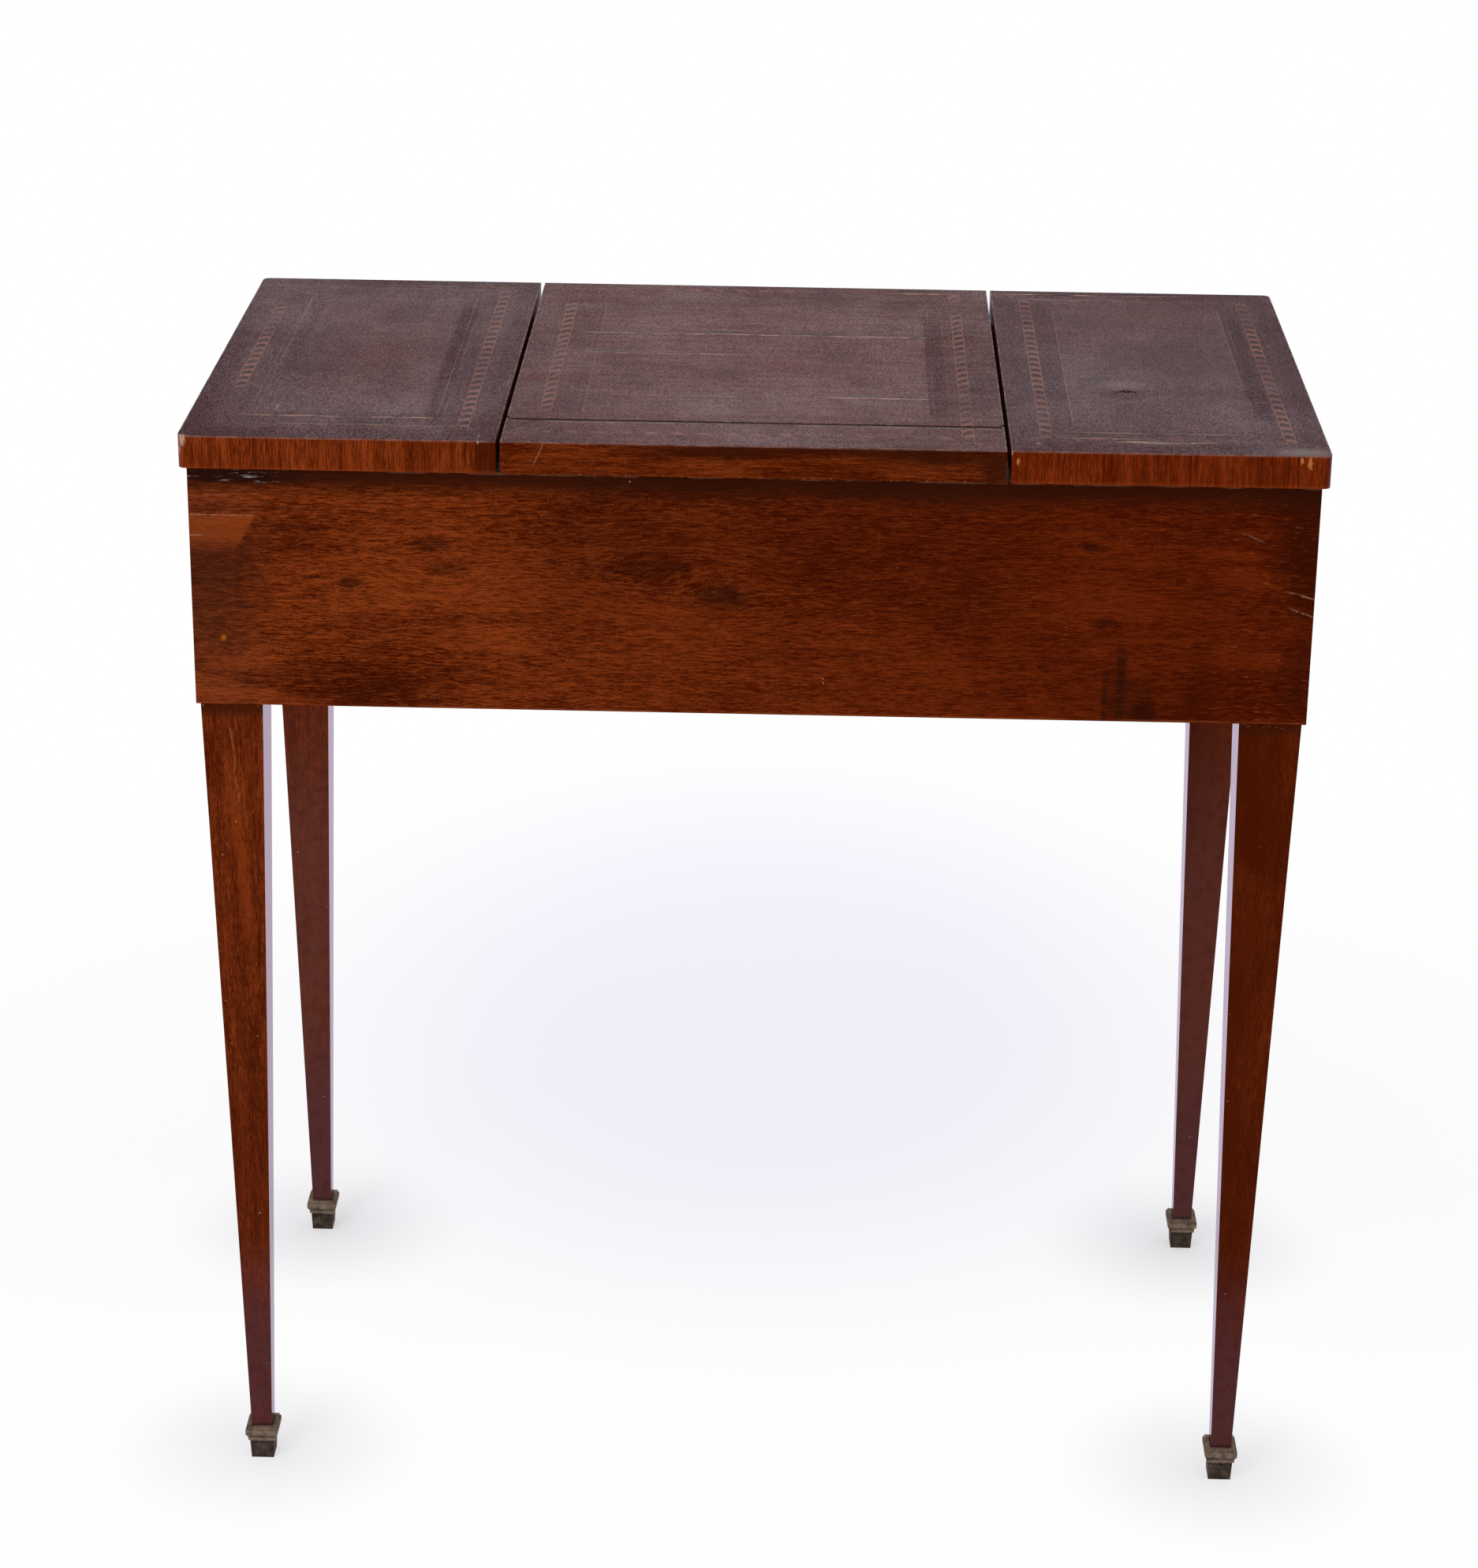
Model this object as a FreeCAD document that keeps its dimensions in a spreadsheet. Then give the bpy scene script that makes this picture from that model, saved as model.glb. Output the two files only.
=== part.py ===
import FreeCAD, Part
import os
import re
import Sketcher

# A small dressing table on four tapered legs with brass boots. Its top is in three parts:
# two side flaps that fold outwards over a well each, and a middle flap that lifts up and
# carries a mirror underneath. Lengths are in millimetres. X runs to the sitter's right,
# Y to the back and Z up. The origin lies on the floor, under the centre of the top.

SIZES = {
    # the top
    "total_height": 744,
    "lid_width": 720,
    "lid_depth": 400,
    "lid_thick": 21,
    "side_overhang": 5,
    "back_overhang": 3,
    "front_overhang": 14,
    "flap_width": 199.2,
    "flap_gap": 2.8,
    "corner_radius": 5,
    "hinge_rail_depth": 50,
    "joint_gap": 0.8,
    # the carcase
    "body_height": 158,
    "panel_thick": 14,
    "partition_thick": 14,
    "front_thick": 12,
    "floor_thick": 6,
    "bottom_rail_height": 14,
    "bottom_rail_depth": 44,
    "drawer_opening": 64,
    "mid_rail_height": 12,
    "mid_rail_depth": 30,
    "slot_height": 16,
    "slot_rail_height": 10,
    "batten_width": 14,
    "block_width": 16,
    # the legs and their boots
    "leg_top": 40,
    "leg_end": 14,
    "leg_inset": 2.5,
    "tenon_width": 16,
    "tenon_height": 12,
    "tenon_shift": 6,
    "tenon_play": 0.2,
    "boot_height": 25,
    "boot_floor": 5,
    "boot_foot": 15.4,
    "boot_ankle": 16.8,
    "boot_step": 19,
    "boot_cap": 22.2,
    "boot_lip": 20.2,
    "boot_block_height": 14.5,
    "boot_step_height": 2.5,
    "boot_cove_height": 2.5,
    "boot_cap_height": 3.5,
    "boot_play": 0.3,
    "nail_radius": 0.8,
    "nail_length": 8,
    # the drawers and the writing slide
    "slide_play": 0.3,
    "drawer_side_thick": 8,
    "drawer_side_drop": 6,
    "drawer_bottom_thick": 4,
    "drawer_bottom_rise": 4,
    "drawer_groove": 3,
    "drawer_back_gap": 5,
    "slide_length": 260,
    "lip_thick": 12,
    # the knobs
    "knob_radius": 6.5,
    "knob_reach": 11,
    "knob_dowel": 2.5,
    "knob_dowel_length": 8,
    "small_knob_share": 0.72,
    "slide_knob_spacing": 160,
    # the hinges of the side flaps
    "hinge_clearance": 0.3,
    "hinge_spacing": 250,
    "hinge_length": 36,
    "leaf_width": 12.65,
    "leaf_thick": 1.2,
    "leaf_gap": 0.15,
    "knuckle_radius": 1.8,
    "knuckle_play": 0.4,
    "knuckle_gap": 0.3,
    "hinge_pin_radius": 0.9,
    "pin_play": 0.05,
    "screw_radius": 0.9,
    "screw_head": 1.9,
    "screw_length": 9,
    "screw_spacing": 22,
    # the pivots of the middle flap
    "pivot_depth": 3,
    "ear_radius": 2.8,
    "ear_thick": 1.5,
    "ear_length": 32,
    "ear_play": 0.3,
    "ear_recess": 5,
    "ear_screw_spacing": 12,
    "pivot_pin_radius": 1,
    "pivot_pin_length": 10,
    # the mirror
    "mirror_side_margin": 26,
    "mirror_end_margin": 30,
    "mirror_recess": 6,
    "mirror_thick": 3,
    "mirror_play": 0.5,
    "bead_width": 8,
    "bead_height": 3,
}

DERIVED = {
    "half_lid": "=lid_width / 2",
    "half_width": "=half_lid - side_overhang",
    "inner_half": "=half_width - panel_thick",
    "lid_back": "=lid_depth / 2",
    "lid_front": "=-lid_depth / 2",
    "back_face": "=lid_back - back_overhang",
    "back_inner": "=back_face - panel_thick",
    "front_face": "=lid_front + front_overhang",
    "front_inner": "=front_face + front_thick",
    "rim": "=total_height - lid_thick",
    "base": "=rim - body_height",
    "rail_top": "=base + bottom_rail_height",
    "drawer_top": "=rail_top + drawer_opening",
    "deck": "=drawer_top + mid_rail_height",
    "slot_top": "=deck + slot_height",
    "centre_deck": "=slot_top + slot_rail_height",
    "middle_half": "=half_lid - flap_width - flap_gap",
    "partition_centre": "=middle_half + flap_gap / 2",
    "partition_in": "=partition_centre - partition_thick / 2",
    "partition_out": "=partition_centre + partition_thick / 2",
    "rail_front": "=lid_back - hinge_rail_depth",
    "leg_x": "=half_width - leg_inset - leg_top / 2",
    "leg_back": "=back_face - leg_inset - leg_top / 2",
    "leg_front": "=front_face + leg_inset + leg_top / 2",
    "leg_slope": "=(leg_top - leg_end) / (base - boot_height)",
    "leg_foot": "=leg_end - leg_slope * (boot_height - boot_floor)",
    "boot_step_top": "=boot_block_height + boot_step_height",
    "boot_cove_top": "=boot_step_top + boot_cove_height",
    "boot_cap_top": "=boot_cove_top + boot_cap_height",
    "drawer_back": "=back_inner - block_width - drawer_back_gap",
    "drawer_low": "=rail_top + slide_play",
    "drawer_high": "=drawer_top - slide_play",
    "bottom_low": "=drawer_low + drawer_bottom_rise",
    "bottom_high": "=bottom_low + drawer_bottom_thick",
    "hinge_x": "=half_width + (side_overhang + hinge_clearance) / 2",
    "pivot_y": "=rail_front - joint_gap - pivot_depth",
    "pivot_z": "=total_height - pivot_depth",
    "mirror_half": "=middle_half - mirror_side_margin",
    "mirror_back": "=rail_front - mirror_end_margin",
    "mirror_front": "=lid_front + mirror_end_margin",
}

V = FreeCAD.Vector
TURNS = {
    "up": FreeCAD.Rotation(V(0, 0, 1), 0),
    "down": FreeCAD.Rotation(V(1, 0, 0), 180),
    "right": FreeCAD.Rotation(V(0, 1, 0), 90),
    "left": FreeCAD.Rotation(V(0, 1, 0), -90),
    "back": FreeCAD.Rotation(V(1, 0, 0), -90),
    "front": FreeCAD.Rotation(V(1, 0, 0), 90),
}
SIDES = {"left": -1, "right": 1}
# the turned outline of a knob from its base to its tip, as shares of its radius and reach
knob_shares = [(0.62, 0), (0.62, 0.12), (0.4, 0.24), (0.4, 0.42), (0.8, 0.56), (1, 0.7),
               (0.92, 0.86), (0.6, 0.96), (0, 1)]

doc = FreeCAD.newDocument("DressingTable")
sheet = doc.addObject("Spreadsheet::Sheet", "Sizes")
nodes = []


def fill_sheet():
    for row, (name, value) in enumerate({**SIZES, **DERIVED}.items(), start=1):
        sheet.set(f"A{row}", name)
        sheet.set(f"B{row}", str(value))
        sheet.setAlias(f"B{row}", name)
    doc.recompute()


def sized(text):
    """The text with every named size pointed at the sheet."""
    return re.sub(r"[a-z]\w*", lambda word: "Sizes." + word.group(), text)


def bind(item, **texts):
    for name, text in texts.items():
        item.setExpression(name, sized(text))


def place(item, at, turn="up"):
    item.Placement = FreeCAD.Placement(V(0, 0, 0), TURNS[turn])
    for axis, text in zip("xyz", at):
        item.setExpression("Placement.Base." + axis, sized(text))


def sided(side, text):
    """A distance to the right, or the same distance to the left."""
    return text if side > 0 else f"-({text})"


def across(side, low, high):
    """A span to the right of the centre, or its mirror image."""
    return (low, high) if side > 0 else (f"-({high})", f"-({low})")


def even(half):
    return (f"-({half})", half)


def board(x, y, z):
    """A straight board, each span given from low to high."""
    item = doc.addObject("Part::Box", "Board")
    lengths = [f"({high}) - ({low})" for low, high in (x, y, z)]
    bind(item, Length=lengths[0], Width=lengths[1], Height=lengths[2])
    place(item, (x[0], y[0], z[0]))
    return item


def rod(radius, length, at, turn="up"):
    item = doc.addObject("Part::Cylinder", "Rod")
    bind(item, Radius=radius, Height=length)
    place(item, at, turn)
    return item


def cone(radius, end_radius, length, at, turn="up"):
    item = doc.addObject("Part::Cone", "Cone")
    bind(item, Radius1=radius, Radius2=end_radius, Height=length)
    place(item, at, turn)
    return item


def taper(x, y, low, high):
    """A square post whose width changes evenly between two heights, each a (height, width)."""
    item = doc.addObject("Part::Wedge", "Taper")
    bind(item, Xmin=f"-({low[1]}) / 2", Xmax=f"({low[1]}) / 2", Ymin=low[0],
         Zmin=f"-({low[1]}) / 2", Zmax=f"({low[1]}) / 2", Ymax=high[0])
    bind(item, X2min=f"-({high[1]}) / 2", X2max=f"({high[1]}) / 2",
         Z2min=f"-({high[1]}) / 2", Z2max=f"({high[1]}) / 2")
    place(item, (x, y, "0"), "front")
    return item


def join(pieces):
    item = doc.addObject("Part::MultiFuse", "Joined")
    item.Shapes = pieces
    item.Refine = True
    return item


def carve(piece, tools):
    item = doc.addObject("Part::Cut", "Carved")
    item.Base = piece
    item.Tool = tools[0] if len(tools) == 1 else join(tools)
    return item


def group(pieces):
    item = doc.addObject("Part::Compound", "Group")
    item.Links = pieces
    return item


def node(name, item):
    item.Label = name
    nodes.append(item)
    return item


def screw(at, turn, play="0"):
    """A countersunk screw, its head flush at the given point; with play, the hole for it."""
    head = cone(f"screw_head + {play}", f"screw_radius + {play}", "leaf_thick", at, turn)
    shank = rod(f"screw_radius + {play}", f"screw_length + {play}", at, turn)
    return join([head, shank])


def origin_plane(body, role):
    return next(part for part in body.Origin.OriginFeatures if part.Role == role)


def new_sketch(body, role):
    sketch = body.newObject("Sketcher::SketchObject", body.Name + "Outline")
    sketch.AttachmentSupport = [(origin_plane(body, role), "")]
    sketch.MapMode = "FlatFace"
    return sketch


def closed_lines(sketch, points):
    count = len(points)
    for index, point in enumerate(points):
        sketch.addGeometry(Part.LineSegment(point, points[(index + 1) % count]), False)
    for index in range(count):
        sketch.addConstraint(Sketcher.Constraint("Coincident", index, 2, (index + 1) % count, 1))


def name_length(sketch, kind, ends, name, text):
    """A dimension of the sketch, driven by the sheet."""
    index = sketch.addConstraint(Sketcher.Constraint(kind, *ends, 1.0))
    sketch.renameConstraint(index, name)
    sketch.setExpression("Constraints." + name, sized(text))


def slab(name, width, depth, height):
    """A flat board as a pad, with its front left corner at its own origin."""
    body = doc.addObject("PartDesign::Body", name)
    sketch = new_sketch(body, "XY_Plane")
    closed_lines(sketch, [V(0, 0), V(1, 0), V(1, 1), V(0, 1)])
    for kind, line in (("Horizontal", 0), ("Vertical", 1), ("Horizontal", 2), ("Vertical", 3)):
        sketch.addConstraint(Sketcher.Constraint(kind, line))
    sketch.addConstraint(Sketcher.Constraint("Coincident", 0, 1, -1, 1))
    name_length(sketch, "DistanceX", (0, 1, 0, 2), "width", width)
    name_length(sketch, "DistanceY", (1, 1, 1, 2), "depth", depth)
    pad = body.newObject("PartDesign::Pad", name + "Pad")
    pad.Profile = sketch
    bind(pad, Length=height)
    doc.recompute()
    return body


def round_edges(body, radius, wanted):
    """Rounds the edges of the body's last feature for which wanted(low, high corner) holds."""
    base = body.Tip
    chosen = []
    for index, edge in enumerate(base.Shape.Edges, start=1):
        box = edge.BoundBox
        if wanted(V(box.XMin, box.YMin, box.ZMin), V(box.XMax, box.YMax, box.ZMax)):
            chosen.append(f"Edge{index}")
    fillet = body.newObject("PartDesign::Fillet", body.Name + "Round")
    fillet.Base = (base, chosen)
    bind(fillet, Radius=radius)
    doc.recompute()


def upright(low, high):
    return high.z - low.z > (high.x - low.x) + (high.y - low.y)


def lengthwise(low, high):
    return high.x - low.x > (high.y - low.y) + (high.z - low.z)


def knob(name, at, share="1"):
    """A turned knob with its dowel, pointing to the front."""
    body = doc.addObject("PartDesign::Body", name)
    sketch = new_sketch(body, "XZ_Plane")
    dowel = f"knob_dowel * {share}"
    outline = [("0", "0 - knob_dowel_length"), (dowel, "0 - knob_dowel_length"), (dowel, "0")]
    outline += [(f"knob_radius * {share} * {radius_share}", f"knob_reach * {share} * {reach_share}")
                for radius_share, reach_share in knob_shares]
    sketch_outline(sketch, outline)
    turning = body.newObject("PartDesign::Revolution", name + "Turning")
    turning.Profile = sketch
    turning.ReferenceAxis = (sketch, ["V_Axis"])
    turning.Angle = 360
    place(body, at, "front")
    return body


def sketch_outline(sketch, outline):
    """A closed outline of (radius, height) expressions; the first and last lie on the axis."""
    values = [V(value_of(r), value_of(z), 0) for r, z in outline]
    closed_lines(sketch, values)
    last = len(outline) - 1
    for index, (r, z) in enumerate(outline):
        if index in (0, last):
            sketch.addConstraint(Sketcher.Constraint("PointOnObject", index, 1, -2))
        else:
            name_place(sketch, "DistanceX", index, f"radius{index}", r, values[index].x)
        if abs(values[index].y) > 0:
            name_place(sketch, "DistanceY", index, f"height{index}", z, values[index].y)
        else:
            sketch.addConstraint(Sketcher.Constraint("PointOnObject", index, 1, -1))


def name_place(sketch, kind, point, name, text, value):
    """The distance of a point from the sketch's origin, driven by the sheet."""
    index = sketch.addConstraint(Sketcher.Constraint(kind, -1, 1, point, 1, value))
    sketch.renameConstraint(index, name)
    sketch.setExpression("Constraints." + name, sized(text))


def value_of(text):
    return float(sheet.evalExpression(re.sub(r"Sizes\.", "", sized(text))))


def make_legs():
    """Four square legs, tapered on all sides, each with a tenon up into the bottom rails."""
    nails = []
    for side_name, side in SIDES.items():
        for end_name, end, y in (("back", 1, "leg_back"), ("front", -1, "leg_front")):
            x = sided(side, "leg_x")
            post = taper(x, y, ("boot_floor", "leg_foot"), ("base", "leg_top"))
            leg = join([post, tenon(side, end, y)])
            nail_at = (sided(side, "leg_x - boot_cap / 2"), y, "boot_cove_top + boot_cap_height / 2")
            turn = "right" if side > 0 else "left"
            hole = rod("nail_radius + pin_play", "nail_length + pin_play", nail_at, turn)
            node(f"leg_{end_name}_{side_name}", carve(leg, [hole]))
            hole = rod("nail_radius + pin_play", "nail_length", nail_at, turn)
            node(f"boot_{end_name}_{side_name}", carve(boot(x, y), [boot_socket(x, y), hole]))
            nails.append(rod("nail_radius", "nail_length", nail_at, turn))
    node("boot_nails", group(nails))


def tenon(side, end, y, play="0"):
    """The square tenon on a leg, set towards the middle; with play, the mortise for it."""
    half = f"tenon_width / 2 + {play}"
    middle_y = f"{y} - tenon_shift" if end > 0 else f"{y} + tenon_shift"
    x = across(side, f"leg_x - tenon_shift - ({half})", f"leg_x - tenon_shift + {half}")
    return board(x, (f"{middle_y} - ({half})", f"{middle_y} + {half}"),
                 ("base", f"base + tenon_height + {play}"))


def boot(x, y):
    """A square brass boot: a block, a step, a cove, a cap and a thin lip."""
    levels = [
        (("0", "boot_foot"), ("boot_block_height", "boot_ankle")),
        (("boot_block_height", "boot_step"), ("boot_step_top", "boot_step")),
        (("boot_step_top", "boot_step"), ("boot_cove_top", "boot_cap")),
        (("boot_cove_top", "boot_cap"), ("boot_cap_top", "boot_cap")),
        (("boot_cap_top", "boot_lip"), ("boot_height", "boot_lip")),
    ]
    return join([taper(x, y, low, high) for low, high in levels])


def boot_socket(x, y):
    return taper(x, y, ("boot_floor", "leg_foot + 2 * boot_play"),
                 ("boot_height", "leg_end + 2 * boot_play"))


def make_panels():
    """The back board over the ends of the side panels, and the two partitions."""
    node("back_panel", board(even("half_width"), ("back_inner", "back_face"), ("base", "rim")))
    for side_name, side in SIDES.items():
        panel = board(across(side, "inner_half", "half_width"), ("front_face", "back_inner"),
                      ("base", "rim"))
        beds = [leaf_bed(side, y, "rim - leaf_gap - leaf_thick", "rim") for y in hinge_places()]
        holes = leaf_screws(side, "down", "pin_play")
        node(f"side_panel_{side_name}", carve(panel, beds + holes))
        node(f"partition_{side_name}", board(across(side, "partition_in", "partition_out"),
                                             ("front_face", "back_inner"), ("rail_top", "rim")))


def make_rails():
    """The rails, battens and blocks that carry the drawers, the slide and the well floors."""
    low_rail = ("base", "rail_top")
    for name, end, leg_y, y in (
            ("front", -1, "leg_front", ("front_face", "front_face + bottom_rail_depth")),
            ("back", 1, "leg_back", ("back_inner - bottom_rail_depth", "back_inner"))):
        mortises = [tenon(side, end, leg_y, "tenon_play") for side in SIDES.values()]
        rail = board(even("inner_half"), y, low_rail)
        node(f"bottom_rail_{name}", carve(rail, mortises))
    mid_y = ("front_face", "front_face + mid_rail_depth")
    mid_z = ("drawer_top", "deck")
    bays = [across(side, "partition_out", "inner_half") for side in SIDES.values()]
    rails = [board(x, mid_y, mid_z) for x in bays + [even("partition_in")]]
    rails.append(board(even("partition_in"), mid_y, ("slot_top", "centre_deck")))
    node("mid_rails", group(rails))
    run = ("front_face + bottom_rail_depth", "back_inner - bottom_rail_depth")
    behind = ("front_face + mid_rail_depth", "back_inner")
    runners, kickers, blocks = [], [], []
    for side in SIDES.values():
        outer = across(side, "inner_half - batten_width", "inner_half")
        beside = across(side, "partition_out", "partition_out + batten_width")
        inner = across(side, "partition_in - batten_width", "partition_in")
        under = across(side, "partition_in - batten_width", "partition_out + batten_width")
        runners += [board(outer, run, low_rail), board(under, run, low_rail)]
        kickers += [board(x, behind, mid_z) for x in (outer, beside, inner)]
        kickers.append(board(inner, behind, ("slot_top", "centre_deck")))
        for x in (across(side, "inner_half - block_width", "inner_half"),
                  across(side, "partition_out", "partition_out + block_width")):
            blocks.append(board(x, ("back_inner - block_width", "back_inner"),
                                ("rail_top", "drawer_top")))
    node("drawer_runners", group(runners))
    node("kickers", group(kickers))
    node("glue_blocks", group(blocks))


def make_fronts():
    """The sham drawer fronts of the side wells, the middle frieze, and the well floors."""
    front_y = ("front_face", "front_inner")
    well_y = ("front_inner", "back_inner")
    knobs = []
    for side_name, side in SIDES.items():
        x = across(side, "partition_out", "inner_half")
        knob_at = (sided(side, "(partition_out + inner_half) / 2"), "front_face", "(deck + rim) / 2")
        node(f"sham_front_{side_name}", carve(board(x, front_y, ("deck", "rim")), [knob_hole(knob_at)]))
        knobs.append(knob(f"sham_turning_{side_name}", knob_at))
        node(f"well_floor_{side_name}", board(x, well_y, ("deck", "deck + floor_thick")))
    node("sham_knobs", group(knobs))
    node("frieze", board(even("partition_in"), front_y, ("centre_deck", "rim")))
    node("well_floor_middle", board(even("partition_in"), well_y,
                                    ("centre_deck", "centre_deck + floor_thick")))


def knob_hole(at):
    return rod("knob_dowel + pin_play", "knob_dowel_length + pin_play", at, "back")


def make_drawer(name, x, knob_x):
    """A drawer between two uprights: front, sides, back and a bottom let into grooves."""
    low, high = x
    outer = (f"{low} + slide_play", f"{high} - slide_play")
    inner = (f"{outer[0]} + drawer_side_thick", f"{outer[1]} - drawer_side_thick")
    bottom_x = (f"{inner[0]} - drawer_groove", f"{inner[1]} + drawer_groove")
    bottom_y = ("front_inner - drawer_groove", "drawer_back")
    bottom_z = ("bottom_low", "bottom_high")
    side_z = ("drawer_low", "drawer_high - drawer_side_drop")
    knob_at = (knob_x, "front_face", "(drawer_low + drawer_high) / 2")
    front = board(outer, ("front_face", "front_inner"), ("drawer_low", "drawer_high"))
    groove = board(bottom_x, bottom_y, bottom_z)
    node(f"drawer_{name}_front", carve(front, [groove, knob_hole(knob_at)]))
    sides = []
    for span in ((outer[0], inner[0]), (inner[1], outer[1])):
        side_board = board(span, ("front_inner", "drawer_back"), side_z)
        sides.append(carve(side_board, [board(bottom_x, bottom_y, bottom_z)]))
    node(f"drawer_{name}_sides", group(sides))
    node(f"drawer_{name}_back", board(inner, ("drawer_back - drawer_side_thick", "drawer_back"),
                                      ("bottom_high", side_z[1])))
    node(f"drawer_{name}_bottom", board(bottom_x, bottom_y, bottom_z))
    node(f"drawer_{name}_knob", knob(f"drawer_{name}_turning", knob_at))


def make_drawers():
    make_drawer("left", across(-1, "partition_out", "inner_half"), "-(partition_out + inner_half) / 2")
    make_drawer("right", across(1, "partition_out", "inner_half"), "(partition_out + inner_half) / 2")
    make_drawer("middle", even("partition_in"), "0")


def make_writing_slide():
    """The pull-out writing board, its front lipping and two small knobs."""
    x = even("partition_in - slide_play")
    z = ("deck + slide_play", "slot_top - slide_play")
    lip_back = "front_face + lip_thick"
    node("writing_board", board(x, (lip_back, "front_face + slide_length"), z))
    lip = board(x, ("front_face", lip_back), z)
    holes, knobs = [], []
    for side_name, side in SIDES.items():
        at = (sided(side, "slide_knob_spacing / 2"), "front_face", "(deck + slot_top) / 2")
        holes.append(rod("knob_dowel * small_knob_share + pin_play", "knob_dowel_length + pin_play",
                         at, "back"))
        knobs.append(knob(f"slide_turning_{side_name}", at, "small_knob_share"))
    node("writing_slide_lip", carve(lip, holes))
    node("writing_slide_knobs", group(knobs))


def hinge_places():
    return ["-hinge_spacing / 2", "hinge_spacing / 2"]


def leaf_bed(side, y, low, high):
    """The shallow bed of one hinge leaf, from its inner end to the barrel."""
    x = across(side, "hinge_x - leaf_width", "hinge_x - knuckle_radius - knuckle_play")
    return board(x, (f"{y} - hinge_length / 2", f"{y} + hinge_length / 2"), (low, high))


def leaf_screws(side, turn, play="0"):
    """The screws of one leaf of each hinge on this side, or with play the holes for them."""
    z = "rim - leaf_gap" if turn == "down" else "rim + leaf_gap"
    x = sided(side, "hinge_x - (leaf_width + knuckle_radius) / 2")
    places = [f"{y} {sign} screw_spacing / 2" for y in hinge_places() for sign in "+-"]
    return [screw((x, y, z), turn, play) for y in places]


def hinge_leaf(side, y, level, spans, turn):
    """A leaf with its knuckles: the plate, a tab to each knuckle, and the bore for the pin."""
    low, high = level
    plate = leaf_bed(side, y, low, high)
    pieces = [plate]
    for start, end in spans:
        span_y = (f"{y} + ({start})", f"{y} + ({end})")
        tab_x = across(side, "hinge_x - knuckle_radius - knuckle_play", "hinge_x")
        pieces.append(board(tab_x, span_y, (low, high)))
        pieces.append(rod("knuckle_radius", f"({end}) - ({start})",
                          (sided(side, "hinge_x"), span_y[0], "rim"), "back"))
    bore = rod("hinge_pin_radius + pin_play", "hinge_length",
               (sided(side, "hinge_x"), f"{y} - hinge_length / 2", "rim"), "back")
    holes = leaf_holes(side, y, turn)
    return carve(join(pieces), [bore] + holes)


def leaf_holes(side, y, turn):
    z = "rim - leaf_gap" if turn == "down" else "rim + leaf_gap"
    x = sided(side, "hinge_x - (leaf_width + knuckle_radius) / 2")
    return [screw((x, f"{y} {sign} screw_spacing / 2", z), turn, "pin_play") for sign in "+-"]


def make_hinges():
    """Two butt hinges on each side: fixed leaves on the rim, moving leaves in the flap."""
    sixth = "hinge_length / 6"
    outer_spans = [("-hinge_length / 2", f"-{sixth} - knuckle_gap / 2"),
                   (f"{sixth} + knuckle_gap / 2", "hinge_length / 2")]
    inner_spans = [(f"-{sixth} + knuckle_gap / 2", f"{sixth} - knuckle_gap / 2")]
    fixed_level = ("rim - leaf_gap - leaf_thick", "rim - leaf_gap")
    moving_level = ("rim + leaf_gap", "rim + leaf_gap + leaf_thick")
    fixed, pins, rim_screws = [], [], []
    for side_name, side in SIDES.items():
        for y in hinge_places():
            fixed.append(hinge_leaf(side, y, fixed_level, outer_spans, "down"))
            pins.append(rod("hinge_pin_radius", "hinge_length",
                            (sided(side, "hinge_x"), f"{y} - hinge_length / 2", "rim"), "back"))
        moving = [hinge_leaf(side, y, moving_level, inner_spans, "up") for y in hinge_places()]
        node(f"flap_leaves_{side_name}", group(moving))
        node(f"flap_screws_{side_name}", group(leaf_screws(side, "up")))
        rim_screws += leaf_screws(side, "down")
    node("rim_leaves", group(fixed))
    node("hinge_pins", group(pins))
    return rim_screws


def make_side_flaps():
    """The side flaps, rounded at their outer corners and let in for the hinges."""
    for side_name, side in SIDES.items():
        body = slab(f"flap_slab_{side_name}", "flap_width", "lid_depth", "lid_thick")
        outer_x = value_of("flap_width") if side > 0 else 0
        round_edges(body, "corner_radius",
                    lambda low, high: upright(low, high) and abs(low.x - outer_x) < abs(high.z) / 2)
        place(body, ("half_lid - flap_width" if side > 0 else "-half_lid", "lid_front", "rim"))
        tools = leaf_screws(side, "up", "pin_play")
        for y in hinge_places():
            tools.append(leaf_bed(side, y, "rim", "rim + leaf_gap + leaf_thick"))
            half = "(hinge_length / 2 + knuckle_play)"
            tools.append(board(across(side, "hinge_x - knuckle_radius - knuckle_play", "half_lid"),
                               (f"{y} - {half}", f"{y} + {half}"),
                               ("rim", "rim + knuckle_radius + knuckle_play")))
        node(f"flap_{side_name}", carve(body, tools))


def ear_strap(side):
    """The straight part of a pivot plate, along the end of the hinge rail."""
    return board(across(side, "middle_half - ear_thick", "middle_half"),
                 ("pivot_y", "pivot_y + ear_length"),
                 ("pivot_z - ear_radius", "pivot_z + ear_radius"))


def ear_screws(side, play="0"):
    x = sided(side, "middle_half")
    turn = "left" if side > 0 else "right"
    middle = "(rail_front + pivot_y + ear_length) / 2"
    return [screw((x, f"{middle} {sign} ear_screw_spacing / 2", "pivot_z"), turn, play)
            for sign in "+-"]


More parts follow.
